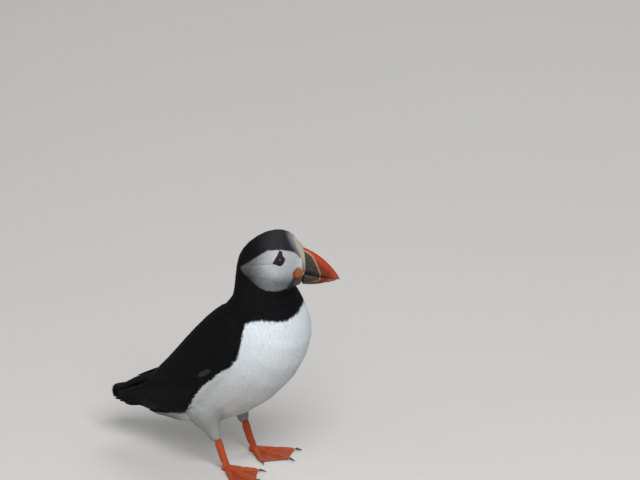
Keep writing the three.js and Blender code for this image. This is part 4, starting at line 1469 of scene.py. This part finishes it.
# The cere, rosettes and eyes.
fleshy = {
    "cere": {
        "light": (0.40, 0.345, 0.27), "dark": (0.29, 0.235, 0.165),
        "foot": (0.4, 0.42, 0.38),  # the tint left at the lower end
        "scale": 1500,
        "swell": {"top": 0.75, "foot": 0.35},
    },
    "rosette": {
        "light": (0.33, 0.088, 0.010), "dark": (0.2, 0.04, 0.012),
        "foot": (0.95, 0.9, 0.9),
        "scale": 900,
    },
}


def fleshyFinish(name):
    look = fleshy[name]
    maker = materialMaker(name)
    place = maker.place()
    values = {"Vector": place, "Scale": look["scale"]}
    pitted = maker.step(maker.node("ShaderNodeTexVoronoi", None, values), 0.12, 0.34)
    fine = maker.noise(place, 1500, 3)
    colour = maker.mix(pitted, look["dark"], look["light"])
    colour = maker.math("MULTIPLY", colour, fine * 0.4 + 0.8)
    _, _, z = maker.split(headSpace(maker, place))
    tint = maker.mix(maker.step(z, -1, 14), look["foot"], (1, 1, 1))
    colour = maker.math("MULTIPLY", colour, tint)
    return maker.finish(colour, fine * 0.2 + 0.45, 0.25, (pitted, 0.7, 0.2))


cere = closedForm(["cere"], 0.34 * mm, 0.05 * mm, 8)
cereSpots = placesOf(cere)
swell = fleshy["cere"]["swell"]
grown = swell["foot"] + (swell["top"] - swell["foot"]) * eased(toHead(cereSpots)[:, 2], 4, 16)
setPlaces(cere, cereSpots + normalsOf(cere) * (grown * mm)[:, None])
barePiece("cere_skin", cere, fleshyFinish("cere"), "cere", "cere")
rosetteDress = fleshyFinish("rosette")
for side in sides:
    form = closedForm([f"rosette_{side}"], 0.26 * mm, 0.04 * mm, 5)
    spots = placesOf(form)
    flat = toHead(spots) - toHead(np.array(middleOf(f"rosette_{side}")))
    turn = np.arctan2(flat[:, 2], flat[:, 0])
    reach = np.hypot(flat[:, 2], flat[:, 0])
    fold = 0.22 * np.sin(11 * turn + 1.2 * np.sin(2 * turn)) * eased(reach, 0.8, 2.5)
    fold -= 0.45 * np.exp(-((flat[:, 2] / 0.35) ** 2)) * eased(reach, 3.6, 2.6)
    setPlaces(form, spots + normalsOf(form) * (fold * mm)[:, None])
    barePiece(f"rosette_skin_{side}", form, rosetteDress, "rosette", f"rosette_{side}")

eye = {
    "rings": 40,
    "round": 48,
    "pupil": 1.35,
    "iris": 2.7,
    "cornea": 0.28,  # how far the front bulges
    "set": 0.28,  # how far the ball sits back
    "black": (0.004, 0.003, 0.004),
    "irisColour": (0.016, 0.010, 0.009),
    "irisLight": (0.03, 0.018, 0.014),
    "white": (0.02, 0.012, 0.01),
}


def eyeFinish():
    maker = materialMaker("eye")
    reach = maker.attribute("reach", "Fac")
    turn = maker.attribute("turn", "Fac")
    threads = maker.math("SINE", turn * 46)
    place = maker.place()
    fleck = maker.noise(place, 1400, 3)
    iris = maker.mix(threads * 0.25 + fleck * 0.7, eye["irisColour"], eye["irisLight"])
    pupil, rim = eye["pupil"], eye["iris"]
    colour = maker.mix(maker.step(reach, pupil - 0.1, pupil + 0.1), eye["black"], iris)
    colour = maker.mix(maker.step(reach, rim - 0.3, rim), colour, eye["white"])
    return maker.finish(colour, fleck * 0.04 + 0.1, 0.3)


eyeDress = eyeFinish()
for side in sides:
    way = np.array(eyeWays[side])
    across = unit(np.cross(way, (0, 0, 1.0)))
    up = np.cross(across, way)
    ball = bmesh.new()
    reachLayer = ball.verts.layers.float.new("reach")
    turnLayer = ball.verts.layers.float.new("turn")
    rows = []
    for i in range(eye["rings"] + 1):
        angle = math.pi * i / eye["rings"]
        radius = eyeRadius * math.sin(angle)
        level = eyeRadius * math.cos(angle)
        bulge = eye["cornea"] * max(0, 1 - (radius / eye["iris"]) ** 2) if level > 0 else 0
        count = 1 if i in (0, eye["rings"]) else eye["round"]
        row = []
        for j in range(count):
            turn = 2 * math.pi * j / eye["round"]
            spot = (across * math.cos(turn) + up * math.sin(turn)) * radius
            spot = spot + way * (level - eye["set"] + bulge)
            v = ball.verts.new(np.array(eyeMiddles[side]) + spot * mm)
            v[reachLayer] = radius if level > 0 else 9
            v[turnLayer] = turn
            row.append(v)
        rows.append(row)
    bridged(ball, rows)
    bmesh.ops.recalc_face_normals(ball, faces=ball.faces)
    barePiece(f"eyeball_{side}", meshFrom(ball, "eyeball"), eyeDress, "eye", f"eye_{side}")
print("eyes")

# Claws keep their solids' places as smooth horn.
claw = {"dark": (0.012, 0.010, 0.010), "light": (0.05, 0.04, 0.036)}
clawNames = sorted(name for name in nodes if name.startswith("claw"))


def clawFinish():
    maker = materialMaker("claw")
    place = maker.place()
    grain = maker.noise(place, 800, 3)
    colour = maker.mix(grain, claw["dark"], claw["light"])
    return maker.finish(colour, grain * 0.2 + 0.25, 0.5, (grain, 0.2, 0.05))


horn = clawFinish()
for side in sides:
    names = [name for name in clawNames if name.endswith(side)]
    form = closedForm(names, 0.16 * mm, 0.03 * mm, 4)
    spots = placesOf(form)
    spots[:, 2] = np.maximum(spots[:, 2], 0.05 * mm)
    setPlaces(form, spots)
    barePiece(f"claws_{side}", form, horn, "claw", *names)
print("claws")

# The stage, the lamps and the camera.
stage = {
    "colour": (0.60, 0.59, 0.575), "shade": (0.56, 0.55, 0.53), "size": 8.0, "sides": 96,
    "daylight": (0.94, 0.97, 1.0), "glow": 0.24,
}


def stageFinish():
    maker = materialMaker("paper")
    place = maker.place()
    tone = maker.noise(place, 3, 2)
    colour = maker.mix(tone * 0.4, stage["colour"], stage["shade"])
    return maker.finish(colour, tone * 0.1 + 0.85)


def floorMesh(middle):
    made = bmesh.new()
    at = Matrix.Translation((middle.x, middle.y, 0))
    size = {"segments": stage["sides"], "radius": stage["size"], "matrix": at}
    bmesh.ops.create_circle(made, cap_ends=True, **size)
    return meshFrom(made, "paper")


shot = {
    "azimuth": math.radians(31),
    "elevation": math.radians(20),
    "away": 4.0,
    "field": 0.5568,
    "aim": (70.4, 191.8),
    "tailReach": 130,  # from the tail's tip to the point over the floor that the aim counts from
}


def aimed(name, data, spot, target):
    made = meshObject(name, data)
    made.location = spot
    made.rotation_euler = (Vector(spot) - Vector(target)).to_track_quat("Z", "Y").to_euler()
    return made


a, e = shot["azimuth"], shot["elevation"]
toCamera = Vector((math.sin(a) * math.cos(e), -math.cos(a) * math.cos(e), math.sin(e)))
rightward = Vector((math.cos(a), math.sin(a), 0))
upward = Vector((-math.sin(a) * math.sin(e), math.cos(a) * math.sin(e), math.cos(e)))
aim = Vector((tailLow.x + shot["tailReach"] * mm, bodyMiddle, 0))
aim += (rightward * shot["aim"][0] + upward * shot["aim"][1]) * mm
lens = bpy.data.cameras.new("camera")
lens.sensor_width = 36
lens.lens = 36 * shot["away"] / shot["field"]
lens.clip_start, lens.clip_end = 0.1, 30
bpy.context.scene.camera = aimed("camera", lens, aim + toCamera * shot["away"], aim)

paper = floorMesh(aim)
wear(paper, stageFinish())
floor = meshObject("floor", paper)

lamps = {
    "key": {"from": (1.15, -1.2, 1.95), "size": 1.6, "power": 60},
    "fill": {"from": (-1.8, -1.8, 1.0), "size": 2.4, "power": 12},
    "rim": {"from": (-0.6, 1.8, 1.9), "size": 1.4, "power": 18},
}
for name, lamp in lamps.items():
    light = bpy.data.lights.new(name, "AREA")
    light.size = lamp["size"]
    light.energy = lamp["power"]
    aimed(name, light, lamp["from"], (0, 0, 0.1))
world = bpy.data.worlds.new("room")
world.use_nodes = True
sky = world.node_tree.nodes["Background"].inputs
sky["Color"].default_value = (*stage["daylight"], 1)
sky["Strength"].default_value = stage["glow"]
bpy.context.scene.world = world
bpy.context.scene.view_settings.view_transform = "Standard"
